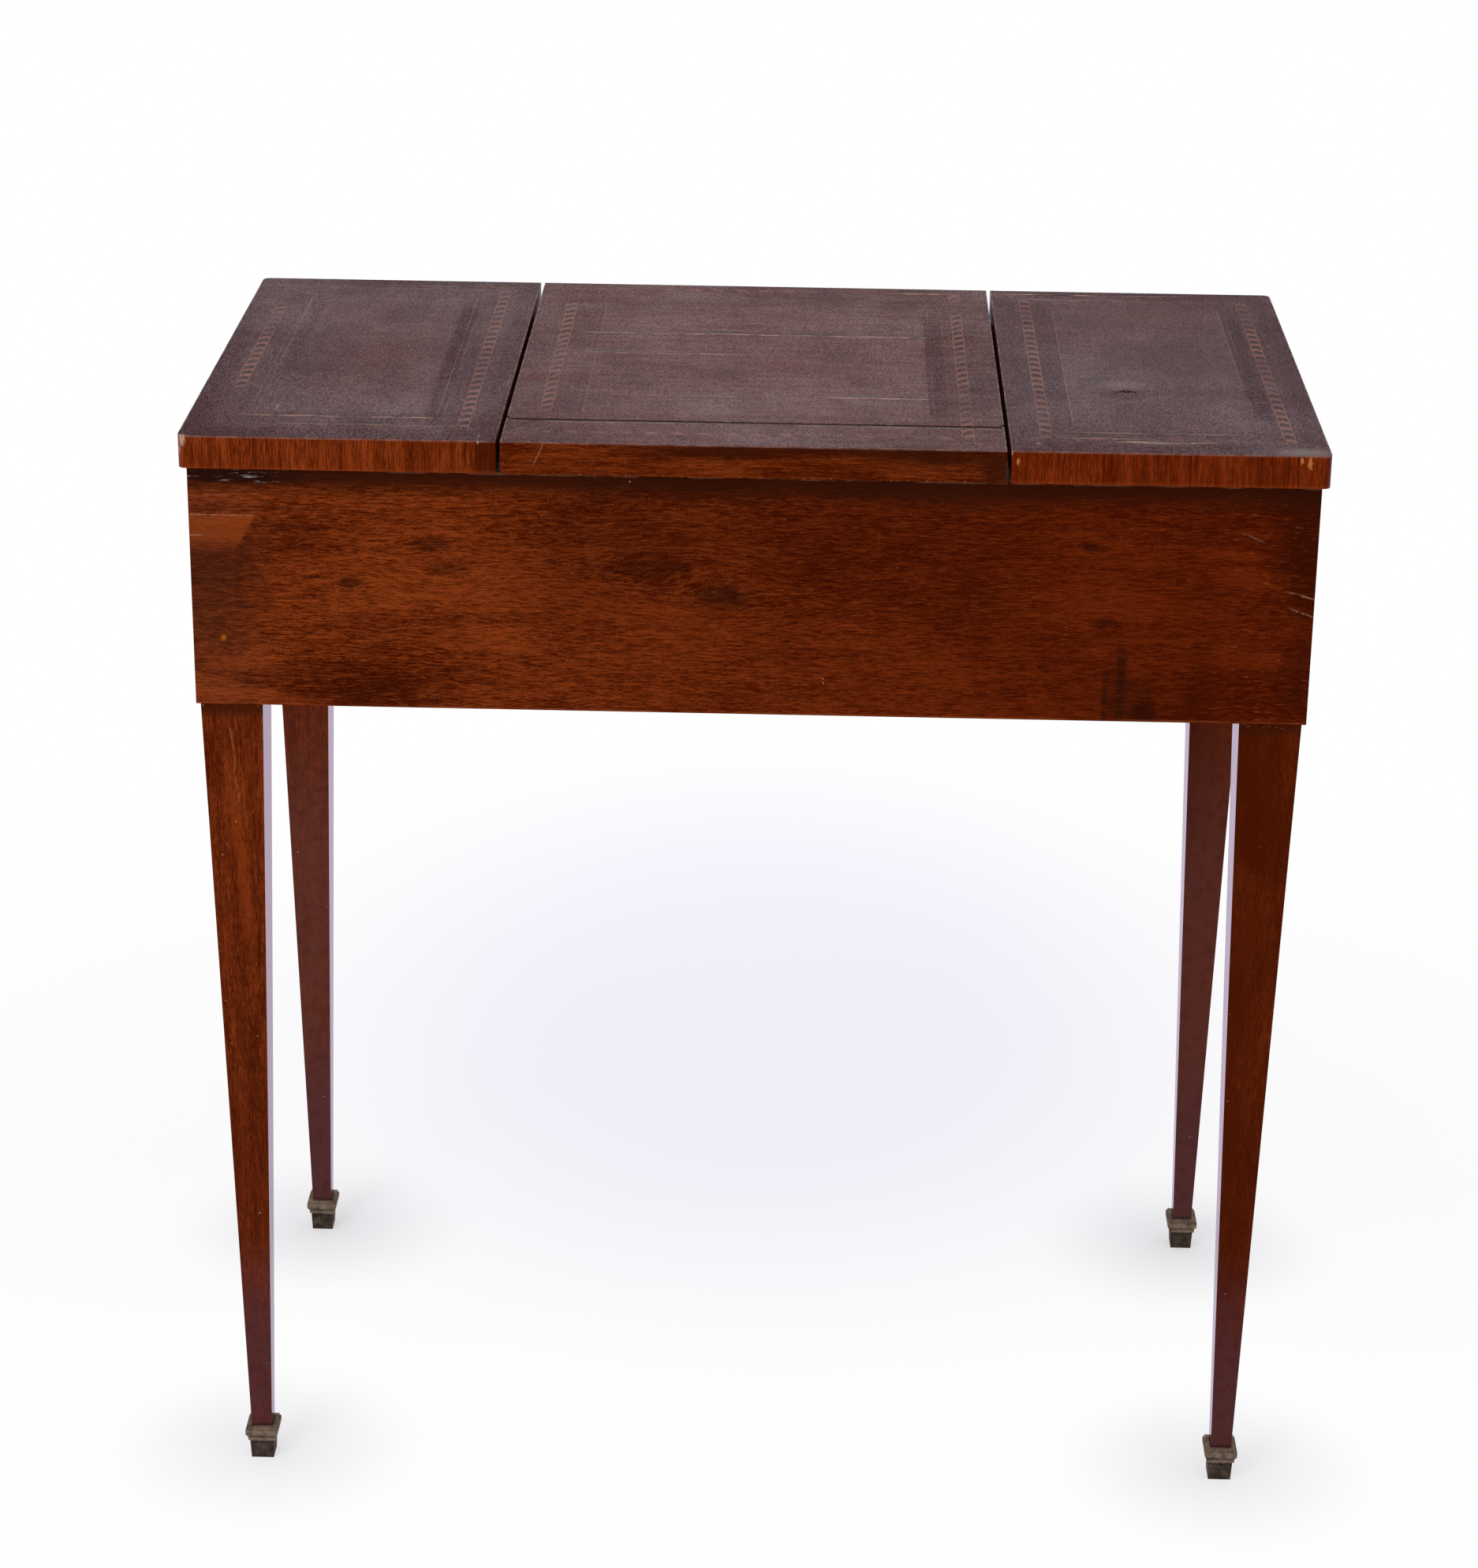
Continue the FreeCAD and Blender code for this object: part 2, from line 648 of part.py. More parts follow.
def make_mirror_flap():
    """The middle flap with its mirror, and the fixed rail whose ends carry its pivots."""
    plates, screws, rail_tools, flap_tools = [], [], [], []
    for side in SIDES.values():
        turn = "left" if side > 0 else "right"
        at = (sided(side, "middle_half"), "pivot_y", "pivot_z")
        disc = rod("ear_radius", "ear_thick", at, turn)
        pin = rod("pivot_pin_radius", "pivot_pin_length", at, turn)
        plates.append(carve(join([ear_strap(side), disc, pin]), ear_screws(side, "pin_play")))
        screws += ear_screws(side)
        rail_tools += [ear_strap(side)] + ear_screws(side, "pin_play")
        flap_tools.append(rod("ear_recess", "ear_thick + ear_play", at, turn))
        flap_tools.append(rod("pivot_pin_radius + pin_play", "pivot_pin_length + ear_play", at, turn))
    rail = board(even("middle_half"), ("rail_front", "lid_back"), ("rim", "total_height"))
    node("hinge_rail", carve(rail, rail_tools))
    node("pivot_plates", group(plates))
    body = slab("mirror_flap_slab", "2 * middle_half", "rail_front - joint_gap - lid_front", "lid_thick")
    middle = value_of("rail_front - joint_gap - lid_front") / 2
    round_edges(body, "pivot_depth", lambda low, high: lengthwise(low, high) and low.y > middle)
    place(body, ("-middle_half", "lid_front", "rim"))
    recess = board(even("mirror_half"), ("mirror_front", "mirror_back"), ("rim", "rim + mirror_recess"))
    node("flap_middle", carve(body, [recess] + flap_tools))
    glass_top = "rim + mirror_recess"
    node("mirror_glass", board(even("mirror_half - mirror_play"),
                               ("mirror_front + mirror_play", "mirror_back - mirror_play"),
                               (f"{glass_top} - mirror_thick", glass_top)))
    bead_z = (f"{glass_top} - mirror_thick - bead_height", f"{glass_top} - mirror_thick")
    long_y = ("mirror_front", "mirror_back")
    beads = [board(across(side, "mirror_half - bead_width", "mirror_half"), long_y, bead_z)
             for side in SIDES.values()]
    for y in (("mirror_front", "mirror_front + bead_width"), ("mirror_back - bead_width", "mirror_back")):
        beads.append(board(even("mirror_half - bead_width"), y, bead_z))
    node("mirror_beads", group(beads))
    return screws


def write_nodes():
    doc.recompute()
    failed = [item.Name for item in doc.Objects if {"Invalid", "Error"} & set(item.State)]
    assert not failed, f"these failed: {failed}"
    os.makedirs("parts", exist_ok=True)
    for item in nodes:
        shape = item.Shape
        assert not shape.isNull() and shape.isValid() and shape.Solids, item.Label
        shape.exportStep(f"parts/{item.Label}.step")
        print(f"{item.Label}: {len(shape.Solids)} solids, {shape.Volume:.1f} cubic mm")
    print(len(nodes), "nodes")


fill_sheet()
make_legs()
make_panels()
make_rails()
make_fronts()
make_drawers()
make_writing_slide()
rim_screws = make_hinges()
make_side_flaps()
rail_screws = make_mirror_flap()
node("carcase_screws", group(rim_screws + rail_screws))
write_nodes()
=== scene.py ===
# %% [markdown]
# # A dressing table seen from behind
#
# The table stands on four tapered legs with brass boots. Its top is in three parts: two side flaps and a
# middle flap that lifts on a fixed hinge rail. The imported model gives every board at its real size, in
# metres, with X to the sitter's right, Y to the back and Z up. This lesson gives each board its veneer,
# inlay, polish and wear, turns the knobs and lights a white studio.

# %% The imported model
import math
import bmesh
import bpy
from mathutils import Euler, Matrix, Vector


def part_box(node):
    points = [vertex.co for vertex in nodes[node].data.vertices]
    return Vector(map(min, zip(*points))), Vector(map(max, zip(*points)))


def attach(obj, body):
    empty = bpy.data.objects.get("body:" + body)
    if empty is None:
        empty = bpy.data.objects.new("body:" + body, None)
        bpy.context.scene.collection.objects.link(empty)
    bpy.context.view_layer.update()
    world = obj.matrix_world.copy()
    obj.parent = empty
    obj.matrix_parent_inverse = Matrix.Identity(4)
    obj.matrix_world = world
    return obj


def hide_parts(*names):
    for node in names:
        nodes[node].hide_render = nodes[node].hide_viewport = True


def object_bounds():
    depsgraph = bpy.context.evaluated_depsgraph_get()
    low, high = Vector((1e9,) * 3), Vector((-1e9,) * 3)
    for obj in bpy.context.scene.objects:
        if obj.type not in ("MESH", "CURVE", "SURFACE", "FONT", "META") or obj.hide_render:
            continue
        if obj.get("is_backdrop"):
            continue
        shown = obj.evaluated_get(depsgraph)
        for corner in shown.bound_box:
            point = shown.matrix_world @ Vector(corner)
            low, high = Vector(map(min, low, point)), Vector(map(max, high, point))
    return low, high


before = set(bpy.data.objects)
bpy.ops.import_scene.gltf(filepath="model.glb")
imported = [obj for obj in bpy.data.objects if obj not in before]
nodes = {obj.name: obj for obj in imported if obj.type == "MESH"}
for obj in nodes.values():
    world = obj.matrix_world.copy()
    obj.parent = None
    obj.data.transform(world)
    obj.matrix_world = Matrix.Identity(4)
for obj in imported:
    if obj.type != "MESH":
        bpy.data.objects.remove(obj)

mm = 0.001
cad_low, cad_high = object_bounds()


def rounded(place):
    return tuple(round(value, 4) for value in place)


def stood(name, data):
    """A new object in the scene."""
    piece = bpy.data.objects.new(name, data)
    bpy.context.scene.collection.objects.link(piece)
    return piece


print(len(nodes), "pieces, from", rounded(cad_low), "to", rounded(cad_high))

# %% [markdown]
# ## Measures that the finishes need
#
# A number could be typed for each edge, but then the inlay would stay behind when a board changes. So the
# rims and corners are read from the boxes of the pieces.

# %% The boxes of the boards
def middle(node):
    low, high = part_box(node)
    return (low + high) / 2


top_z = cad_high.z
back_low, back_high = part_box("back_panel")
rail_low, rail_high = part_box("hinge_rail")
middle_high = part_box("flap_middle")[1]
lid_back = rail_high.y
print("top", round(top_z / mm), "mm high, back board", round((back_high.z - back_low.z) / mm), "mm deep")

# %% [markdown]
# ## The camera
#
# The photograph looks down on the back of the table from about two and a half metres, through a long lens.
# A constraint could aim the camera at a target, but a small roll would be lost. Its place and its three turns
# are simply set.

# %% Camera
camera_place = Vector((-42.2, 2557.8, 1445.3)) * mm
camera_turn = (68.534, -0.669, -178.561)
focal_length = 90.47

camera_data = bpy.data.cameras.new("studio_camera")
camera_data.sensor_width = 36
camera_data.lens = focal_length
camera_data.clip_end = 100
camera = stood("studio_camera", camera_data)
camera.location = camera_place
camera.rotation_euler = Euler([math.radians(turn) for turn in camera_turn], "XYZ")
bpy.context.scene.camera = camera
print("camera", round((camera_place - middle("back_panel")).length, 2), "m from the back board")

# %% [markdown]
# ## Shader sums as plain Python
#
# A wood finish is a sum of many small patterns: streaks, pores, clouds, lines. In Blender each plus or times
# is a Math node, and wiring them by hand is hard to read. One small class wraps a socket, so that `1 - mask`
# or `a * b + c` adds the nodes by itself. Every other node comes from its `node` method.

# %% A wire between nodes
class Wire:
    """One output socket of a node tree, with arithmetic."""

    def __init__(self, tree, socket=None):
        self.tree = tree
        self.socket = socket
        self.axes = None

    def node(self, kind, settings=None, values=None, output=0):
        """Adds a node: its settings first, then the values or wires of its sockets."""
        new = self.tree.nodes.new("ShaderNode" + kind)
        for name, value in (settings or {}).items():
            setattr(new, name, value)
        for name, value in (values or {}).items():
            if isinstance(value, Wire):
                self.tree.links.new(value.socket, new.inputs[name])
            else:
                new.inputs[name].default_value = value
        return Wire(self.tree, new.outputs[output] if new.outputs else None)

    def math(self, operation, *values):
        return self.node("Math", {"operation": operation}, dict(enumerate(values)))

    def __add__(self, other):
        return self.math("ADD", self, other)

    def __sub__(self, other):
        return self.math("SUBTRACT", self, other)

    def __rsub__(self, other):
        return self.math("SUBTRACT", other, self)

    def __mul__(self, other):
        return self.math("MULTIPLY", self, other)

    __radd__ = __add__
    __rmul__ = __mul__

    def size(self):
        return self.math("ABSOLUTE", self)

    def most(self, other):
        return self.math("MAXIMUM", self, other)

    def part(self):
        """What is left of a number after its whole steps."""
        return self.math("FRACT", self)

    def rise(self, low, high, first=0, last=1):
        """The first value below low, the last above high, with a soft step between."""
        return self.node("MapRange", {"interpolation_type": "SMOOTHSTEP"},
                         {0: self, 1: low, 2: high, 3: first, 4: last})

    def fall(self, low, high):
        return self.rise(low, high, 1, 0)

    def mix(self, first, second):
        """The first colour where this is 0, the second where it is 1."""
        return self.node("Mix", {"data_type": "RGBA"}, {0: self, 6: first, 7: second}, 2)

    def stretched(self, x, y, z):
        return self.node("VectorMath", {"operation": "MULTIPLY"}, {0: self, 1: (x, y, z)})

    def moved(self, x=0, y=0, z=0):
        step = self.node("CombineXYZ", None, {0: x, 1: y, 2: z})
        return self.node("VectorMath", {"operation": "ADD"}, {0: self, 1: step})

    def noise(self, scale=1, detail=3, rough=0.55):
        return self.node("TexNoise", None, {"Vector": self, "Scale": scale, "Detail": detail,
                                            "Roughness": rough, "Distortion": 0})

    def axis(self, name):
        """X, Y or Z of a place; the node that parts them is made once."""
        if self.axes is None:
            parted = self.node("SeparateXYZ", None, {0: self}).socket.node
            self.axes = {axis: Wire(self.tree, parted.outputs[axis]) for axis in "XYZ"}
        return self.axes[name]

    x, y, z = [property(lambda self, name=name: self.axis(name)) for name in "XYZ"]

    def distance(self, point):
        return self.node("VectorMath", {"operation": "DISTANCE"}, {0: self, 1: point}, 1)


def empty_tree(owner):
    """A wire on the cleared node tree of a material or world."""
    owner.use_nodes = True
    owner.node_tree.nodes.clear()
    return Wire(owner.node_tree)


def rgb(red, green, blue):
    return (red, green, blue, 1)


# %% [markdown]
# ## One way to start every finish
#
# Each finish is a Principled shader. Its pattern is laid in object space: every object stands at the origin,
# so that is the table's own space in metres, and it turns with a flap that opens. `paint` gets the place as
# a wire and gives back the values of the shader's sockets.

# %% A finish
warm_varnish = rgb(1, 0.15, 0)


def finish(name, paint, **constants):
    material = bpy.data.materials.new(name)
    start = empty_tree(material)
    values = {**constants, **paint(start.node("TexCoord", output="Object"))}
    shader = start.node("BsdfPrincipled", None, {name.replace("_", " "): values[name] for name in values})
    start.node("OutputMaterial", None, {"Surface": shader})
    print("finish", name, "with", len(start.tree.nodes), "nodes")
    return material


def varnished(name, paint, gloss):
    """A finish whose reflection is tinted by the wood below."""
    return finish(name, paint, Specular_IOR_Level=gloss, Specular_Tint=warm_varnish)


def sockets(colour, rough, height, depth, **others):
    """The shader's values; the relief has a height of 0 to 1 and its real depth in metres."""
    relief = height.node("Bump", None, {"Height": height, "Distance": depth, "Strength": 1})
    return dict(Base_Color=colour, Roughness=rough, Normal=relief, **others)


# %% [markdown]
# ## Mahogany
#
# Mahogany has patterns at several scales: clouds, broad bands along the grain, fine fibres, flecks, and
# short dark pores. The grain also sways a little. An image of wood would do, but it repeats and stops at its
# own sharpness. Noise stretched along the grain gives all of them at any size, and one function serves
# boards, legs and cross-grain edges, with the grain turned.

# %% Grain
band_scale = 110
fibre_scale = 680
pore_scale = 1500
speck_scale = 1700


def grained(place, grain, fine, ratio, detail=3, rough=0.6):
    """Noise that runs out into streaks, since its place is squeezed along the grain."""
    squeezed = place.stretched(*[fine / ratio if axis == grain else fine for axis in "XYZ"])
    return squeezed.noise(1, detail, rough)


def swaying(place, grain, reach):
    """The place shifted across the grain by a slow noise."""
    sway = (place.noise(8, 2) - 0.5) * reach
    return place.moved(*[0 if axis == grain else sway for axis in "XYZ"])


def mahogany(place, grain, dark, light, bands=0.32, fibres=0.56, clouds=0.4, cloud_size=15, sway=0.012,
             shift=0, fine=1):
    """Colour and height of mahogany; the shift is added to its tone."""
    bent = swaying(place, grain, sway)
    cloud = grained(place, grain, cloud_size, 2.2, 4)
    band = grained(bent, grain, band_scale, 10, 5, 0.65)
    fibre = grained(bent, grain, fibre_scale, 18, 4, 0.75)
    pore = grained(bent, grain, pore_scale, 12, 2, 0.5)
    fleck = grained(place, grain, pore_scale, 9, 2, 0.7) - 0.5
    speck = place.noise(speck_scale, 1, 0.5) - 0.5
    tone = (cloud * clouds + band * bands + fibre * fibres + fleck * (1.05 * fine) + speck * (0.7 * fine)
            + shift)
    centre = (clouds + bands + fibres) / 2
    colour = tone.rise(centre - 0.2, centre + 0.28).mix(dark, light)
    colour = (pore.fall(0.32, 0.43) * 0.32).mix(colour, dark)
    return colour, fibre * 0.5 + pore * 0.5


# %% [markdown]
# ## Marks that a table gathers
#
# Knots, stains, chips and dents sit in one place each. They could be modelled, but most are only a change of
# colour or polish. A spot is a soft disc about a point, and a line is a thin soft band. Noise added to the
# distance makes the rim ragged, as broken polish is.

# %% Spots and lines
def ragged(place, size):
    return (place.noise(size, 3, 0.65) - 0.5) * 2


def spot(place, point, radius, soft, stretch, rag=0, rag_size=400):
    """1 inside a disc about a point, fading out at its rim; the stretch flattens the disc."""
    near = place.stretched(*stretch).distance(tuple(p * s for p, s in zip(point, stretch)))
    if rag:
        near = near + ragged(place, rag_size) * (rag * radius)
    return near.fall(radius * (1 - soft), radius * (1 + soft))


def upright_spot(place, y, point, radius, soft, stretch=(1, 1), *rest):
    """A spot on an upright face at the depth y, its centre and radius in millimetres."""
    (x, z), (across, up) = point, stretch
    return spot(place, (x * mm, y, z * mm), radius * mm, soft, (across, 1, up), *rest)


def top_spot(place, point, radius, soft, stretch=(1, 1), *rest):
    """The same on the top."""
    return spot(place, (point[0] * mm, point[1] * mm, top_z), radius * mm, soft, (*stretch, 1), *rest)


def window(value, low, high, soft):
    """1 between two values, with soft ends."""
    return value.rise(low - soft, low + soft) * value.fall(high - soft, high + soft)


def line(value, centre, half, soft):
    return (value - centre).size().fall(half, half + soft)


def strongest(masks):
    """The highest of several masks."""
    result, *others = masks
    for mask in others:
        result = result.most(mask)
    return result


# %% [markdown]
# ## The back board
#
# The back is one wide board with its grain running across. It has small knots, a mended place at one end,
# painted shade under the top, stains, scratches with a painted shadow below each, and an amber drop of resin.
# The thin varnish is tinted by the wood below, so what little it reflects is warm: the shader's specular tint
# does that.

# %% Colours of the carcase
mahogany_dark = rgb(0.031, 0.0019, 0.0001)
mahogany_light = rgb(0.25, 0.045, 0.0075)
mahogany_red = rgb(0.131, 0.0163, 0.0022)
# Dark dirt for stains, knots and joints, and also the colour of painted shade: under the top, in pits, beside
# scratches and ridges.
grime_and_shade = rgb(0.012, 0.0032, 0.0018)
black_residue = rgb(0.005, 0.003, 0.003)
fresh_wood = rgb(0.27, 0.047, 0.0075)
haze_tone = rgb(0.16, 0.058, 0.03)
glint_tone = rgb(0.28, 0.058, 0.014)
resin = rgb(0.3, 0.075, 0.006)
scratch_wood = rgb(0.36, 0.16, 0.09)
old_glue = rgb(0.45, 0.42, 0.42)


def back_spot(place, *rest):
    return upright_spot(place, back_high.y, *rest)


# %% [markdown]
# Each mark of the board is a place in millimetres, a size, mostly a stretch, and a strength. They could be
# drawn by hand on an image, but a short list is easier to change.

# %% Marks of the back board
back_knots = [((254, 648.5), 3.4, 0.9), ((202, 675), 4.8, 0.6), ((192.5, 660), 4.8, 0.5),
              ((18, 645), 7, 0.85), ((-213, 681), 2.6, 0.95), ((-223, 631), 3, 0.75), ((60, 661), 8, 0.35)]
knot_stretch = (0.45, 1)
back_stains = [
    ((-251, 569), 6.5, (0.9, 0.7), 1.8), ((-285, 588), 9, (1, 0.4), 0.4),
    ((346, 645), 26, (0.8, 0.7), 1), ((84, 674), 34, (0.6, 1), 0.5),
    ((50, 662), 30, (0.5, 1.2), 0.3), ((302, 682), 14, (0.5, 1), 0.45),
    ((250, 580), 12, (0.3, 1), 0.6), ((325, 583), 9, (0.4, 1.4), 0.4),
    ((-140, 649), 20, (0.8, 0.8), 0.35), ((-350, 690), 26, (1.4, 0.7), 1),
    ((-60, 690), 50, (0.5, 1.2), 0.3), ((-350, 600), 16, (1.2, 0.8), 0.7)]
back_lights = [
    ((-311, 663), 10, (0.5, 1.8), 0.8), ((-300, 678), 8, (0.4, 2.4), 0.7),
    ((-324, 607), 10, (0.4, 2), 0.7), ((-318, 692), 7, (0.5, 2.6), 0.6),
    ((161, 613), 14, (0.4, 1.8), 0.5), ((150, 640), 40, (0.5, 1), 0.3),
    ((330, 701), 16, (0.5, 1.2), 0.35), ((-110, 610), 60, (0.4, 1.2), 0.3),
    ((-255, 640), 40, (0.5, 1), 0.3)]
back_scratches = [(-347, 651.6, 0.25, 8, 0.6), (-348, 640, 0.39, 7, 0.55), (-314, 689.5, 0.4, 6, 0.3)]
back_flecks = [(76.9, 718.6), (-46.3, 590), (-46.5, 587)]
resin_drop = (335.8, 610)
print(len(back_knots), "knots and", len(back_stains), "stains on the back board")

# %% [markdown]
# Near a knot the grain opens like an eye: the place is squeezed towards the knot before the grain is laid.
# The mended end has slanting seams; each needs only the distance from a line in X and Z.

# %% Knots, mends and stains
def opened_by_knots(place):
    shift = place.z * 0
    for point, radius, _ in back_knots:
        near = back_spot(place, point, radius * 2.4, 0.95, knot_stretch)
        shift = shift + near * (place.z * -0.6 + point[1] * mm * 0.6)
    return place.moved(z=shift)


def strip_seam(x, z):
    return x - 0.272 - (z - 0.567) * 3.9


def mends(x, z):
    """The patch let in at the upper end, and the strip of veneer below it."""
    patch = (x - 0.3123 - (0.6923 - z) * 0.586).rise(-0.0008, 0.0012)
    patch = patch * z.fall(0.6912, 0.6918) * z.rise(0.664, 0.68)
    return patch, strip_seam(x, z).rise(-0.0016, 0.0016) * z.fall(0.58, 0.6)


def dark_seams(x, z):
    """The seam of the strip, and a short one at the other end."""
    seam = strip_seam(x, z).size().fall(0.0006, 0.0026) * z.fall(0.588, 0.592) * x.rise(0.26, 0.29)
    other = (x + 0.309 + (z - 0.579) * 4.2).size().fall(0.0006, 0.0024) * window(z, 0.579, 0.587, 0.002)
    return seam.most(other * 0.6)


def arched_stain(place):
    """A dark mark that climbs from the lower edge, with a darker outline and core."""
    x = place.x + ragged(place.stretched(1, 1, 0.35), 90) * 0.0016
    z = place.z + ragged(place, 120) * 0.004
    grain = grained(place, "X", 500, 5).rise(0.3, 0.62) * 0.6 + 0.4
    veil = window(x, -0.2553, -0.2255, 0.002) * z.fall(0.586, 0.604) * 0.55
    outline = line(x, -0.2257, 0.0008, 0.0026) * z.fall(0.588, 0.606) * 0.85
    core = line(x, -0.2355, 0.0014, 0.004) * z.fall(0.604, 0.628) * 0.95
    return strongest([veil, outline, core]) * grain


def scratched(place, colour):
    """The colour with open joints and scratches, each scratch with a painted shadow line below it, and these
    cuts as a mask.
    """
    x, z = place.x, place.z
    feather = place.noise(260, 3, 0.7).rise(0.36, 0.52)
    cuts = strongest([line(z, 0.6917, 0.0002, 0.0004) * window(x, 0.3123, 0.37, 0.001),
                      line(z, 0.6782, 0.0002, 0.0004) * window(x, 0.3385, 0.37, 0.001),
                      line(z, 0.705, 0.0001, 0.0004) * window(x, 0.33, 0.345, 0.002) * 0.6])
    colour = (cuts * feather * 0.7).mix(colour, scratch_wood)
    for cx, cz, slope, reach, amount in back_scratches:
        level = z + (x - cx * mm) * -slope + ragged(place, 130) * 0.0014
        ends = window(x, (cx - reach) * mm, (cx + reach) * mm, 0.004)
        # A painted shadow line just below each scratch.
        colour = (line(level, (cz - 1) * mm, 0.0003, 0.0012) * ends * amount * 0.8).mix(colour, grime_and_shade)
        scratch = line(level, cz * mm, 0.0002, 0.0007) * ends
        colour = (scratch * feather * amount).mix(colour, scratch_wood)
        cuts = cuts.most(scratch)
    return colour, cuts


def board_rims(place, colour):
    """The colour with painted shade under the top and pale arrises, the residue there, and its streaks."""
    x, z = place.x, place.z
    # Painted shade under the overhanging top, its edge made ragged by a noise.
    smudge = place.stretched(7, 7, 30).noise(1, 4, 0.6)
    shade_under_top = (z + smudge * 0.02).rise(back_high.z - 0.013, back_high.z + 0.006)
    colour = (shade_under_top * 0.9).mix(colour, grime_and_shade)
    for level, half, size, low, amount, tone in (
            (back_high.z - 0.0009, 0.0006, 40, 0.42, 0.3, scratch_wood),
            (back_low.z + 0.0009, 0.0003, 30, 0.3, 0.4, glint_tone)):
        rub = place.stretched(size, size, 1).noise().rise(low, 0.6)
        colour = (line(z, level, half, 0.0006) * rub * amount).mix(colour, tone)
    residue = ((z + ragged(place, 60) * 0.005).rise(0.713, 0.716)
               * (x + ragged(place, 30) * 0.03).rise(0.27, 0.31))
    streaks = grained(place, "X", 560, 7, rough=0.7).rise(0.58, 0.68) * residue
    colour = (residue * 0.95).mix(colour, black_residue)
    colour = (streaks * 0.5).mix(colour, old_glue)
    return colour, residue, streaks


# %% Back board finish
def paint_back(place):
    x, z = place.x, place.z
    stained = strongest([back_spot(place, point, radius, 0.75, stretch, 0.4, 70) * amount
                         for point, radius, stretch, amount in back_stains])
    patch, strip = mends(x, z)
    shift = x.fall(-0.3, 0.2) * -0.035 - stained * 0.13 + (patch + strip) * 0.08
    for point, radius, stretch, amount in back_lights:
        shift = shift + back_spot(place, point, radius, 0.8, stretch, 0.35, 45) * (amount * 0.22)
    light = x.rise(-0.3, 0.32).mix(mahogany_red, mahogany_light)
    colour, height = mahogany(opened_by_knots(place), "X", mahogany_dark, light, shift=shift)
    colour = (stained * 0.42).most(arched_stain(place)).mix(colour, grime_and_shade)
    for point, radius, amount in back_knots:
        knot = back_spot(place, point, radius, 0.7, knot_stretch, 0.4, 220)
        heart = back_spot(place, point, radius * 0.4, 0.6, knot_stretch)
        colour = ((knot - heart * 0.35) * amount).mix(colour, grime_and_shade)
    colour = (patch * 0.48 + strip * 0.12).mix(colour, fresh_wood)
    colour = (x.rise(0.29, 0.345) * 0.1).mix(colour, haze_tone)
    colour = (dark_seams(x, z) * place.noise(160).rise(0.35, 0.6) * 0.6).mix(colour, grime_and_shade)
    glint_places = place.noise(14, 2).rise(0.4, 0.62) + x.fall(-0.31, -0.25) * 0.5
    glints = grained(place, "X", 620, 6).rise(0.6, 0.72) * glint_places
    colour = (glints * 0.4).mix(colour, glint_tone)
    colour, cuts = scratched(place, colour)
    colour = back_spot(place, resin_drop, 1.6, 0.45, (1, 0.85), 0.5, 900).mix(colour, resin)
    colour, residue, streaks = board_rims(place, colour)
    flecks = strongest([place.noise(330, 1).rise(0.785, 0.8) * 0.4]
                       + [back_spot(place, point, 0.55, 0.4) * 0.9 for point in back_flecks])
    colour = flecks.mix(colour, scratch_wood)
    rough = place.noise(30) * 0.2 + 0.3 - residue * 0.15
    return sockets(colour, rough, height + cuts * 2 + streaks * 3, 0.00012)


back_finish = varnished("back_mahogany", paint_back, 0.2)

# %% [markdown]
# ## The legs
#
# Each leg is one stick of solid mahogany with the grain upright, polished so well that the inner faces mirror
# the pale floor. Lower down they turn purple, a bloom of wax and dust painted together with a sheen. The legs
# on the side away from the light get painted shade. The legs share one finish, since noise laid in the table's
# own space looks different on each. One has a pale, wavy split.

# %% Leg finish
# The dark of the grain, also used for painted shade on the legs.
leg_dark_and_shade = rgb(0.028, 0.0022, 0.0003)
leg_light = rgb(0.225, 0.041, 0.0085)
# Purple bloom of wax and dust on the lower legs, painted together with a sheen.
leg_bloom_and_sheen = rgb(0.088, 0.034, 0.029)
leg_foot_bloom_and_sheen = rgb(0.056, 0.027, 0.034)
split_wood = rgb(0.3, 0.095, 0.025)


def leg_split(place):
    """The wavy split, and the paler wood beside its lower end."""
    x, z = place.x, place.z
    sway = (place.stretched(1, 1, 55).noise(1, 2, 0.7) - 0.5) * 0.008
    across = x + sway + (z - 0.53) * -0.07
    crack = line(across, 0.3325, 0.0002, 0.0009) * window(z, 0.493, 0.551, 0.008)
    streak = line(across, 0.336, 0.0015, 0.004) * window(z, 0.4, 0.515, 0.02)
    on_back = place.y.rise(0.17, 0.18)
    return crack * on_back, streak * on_back


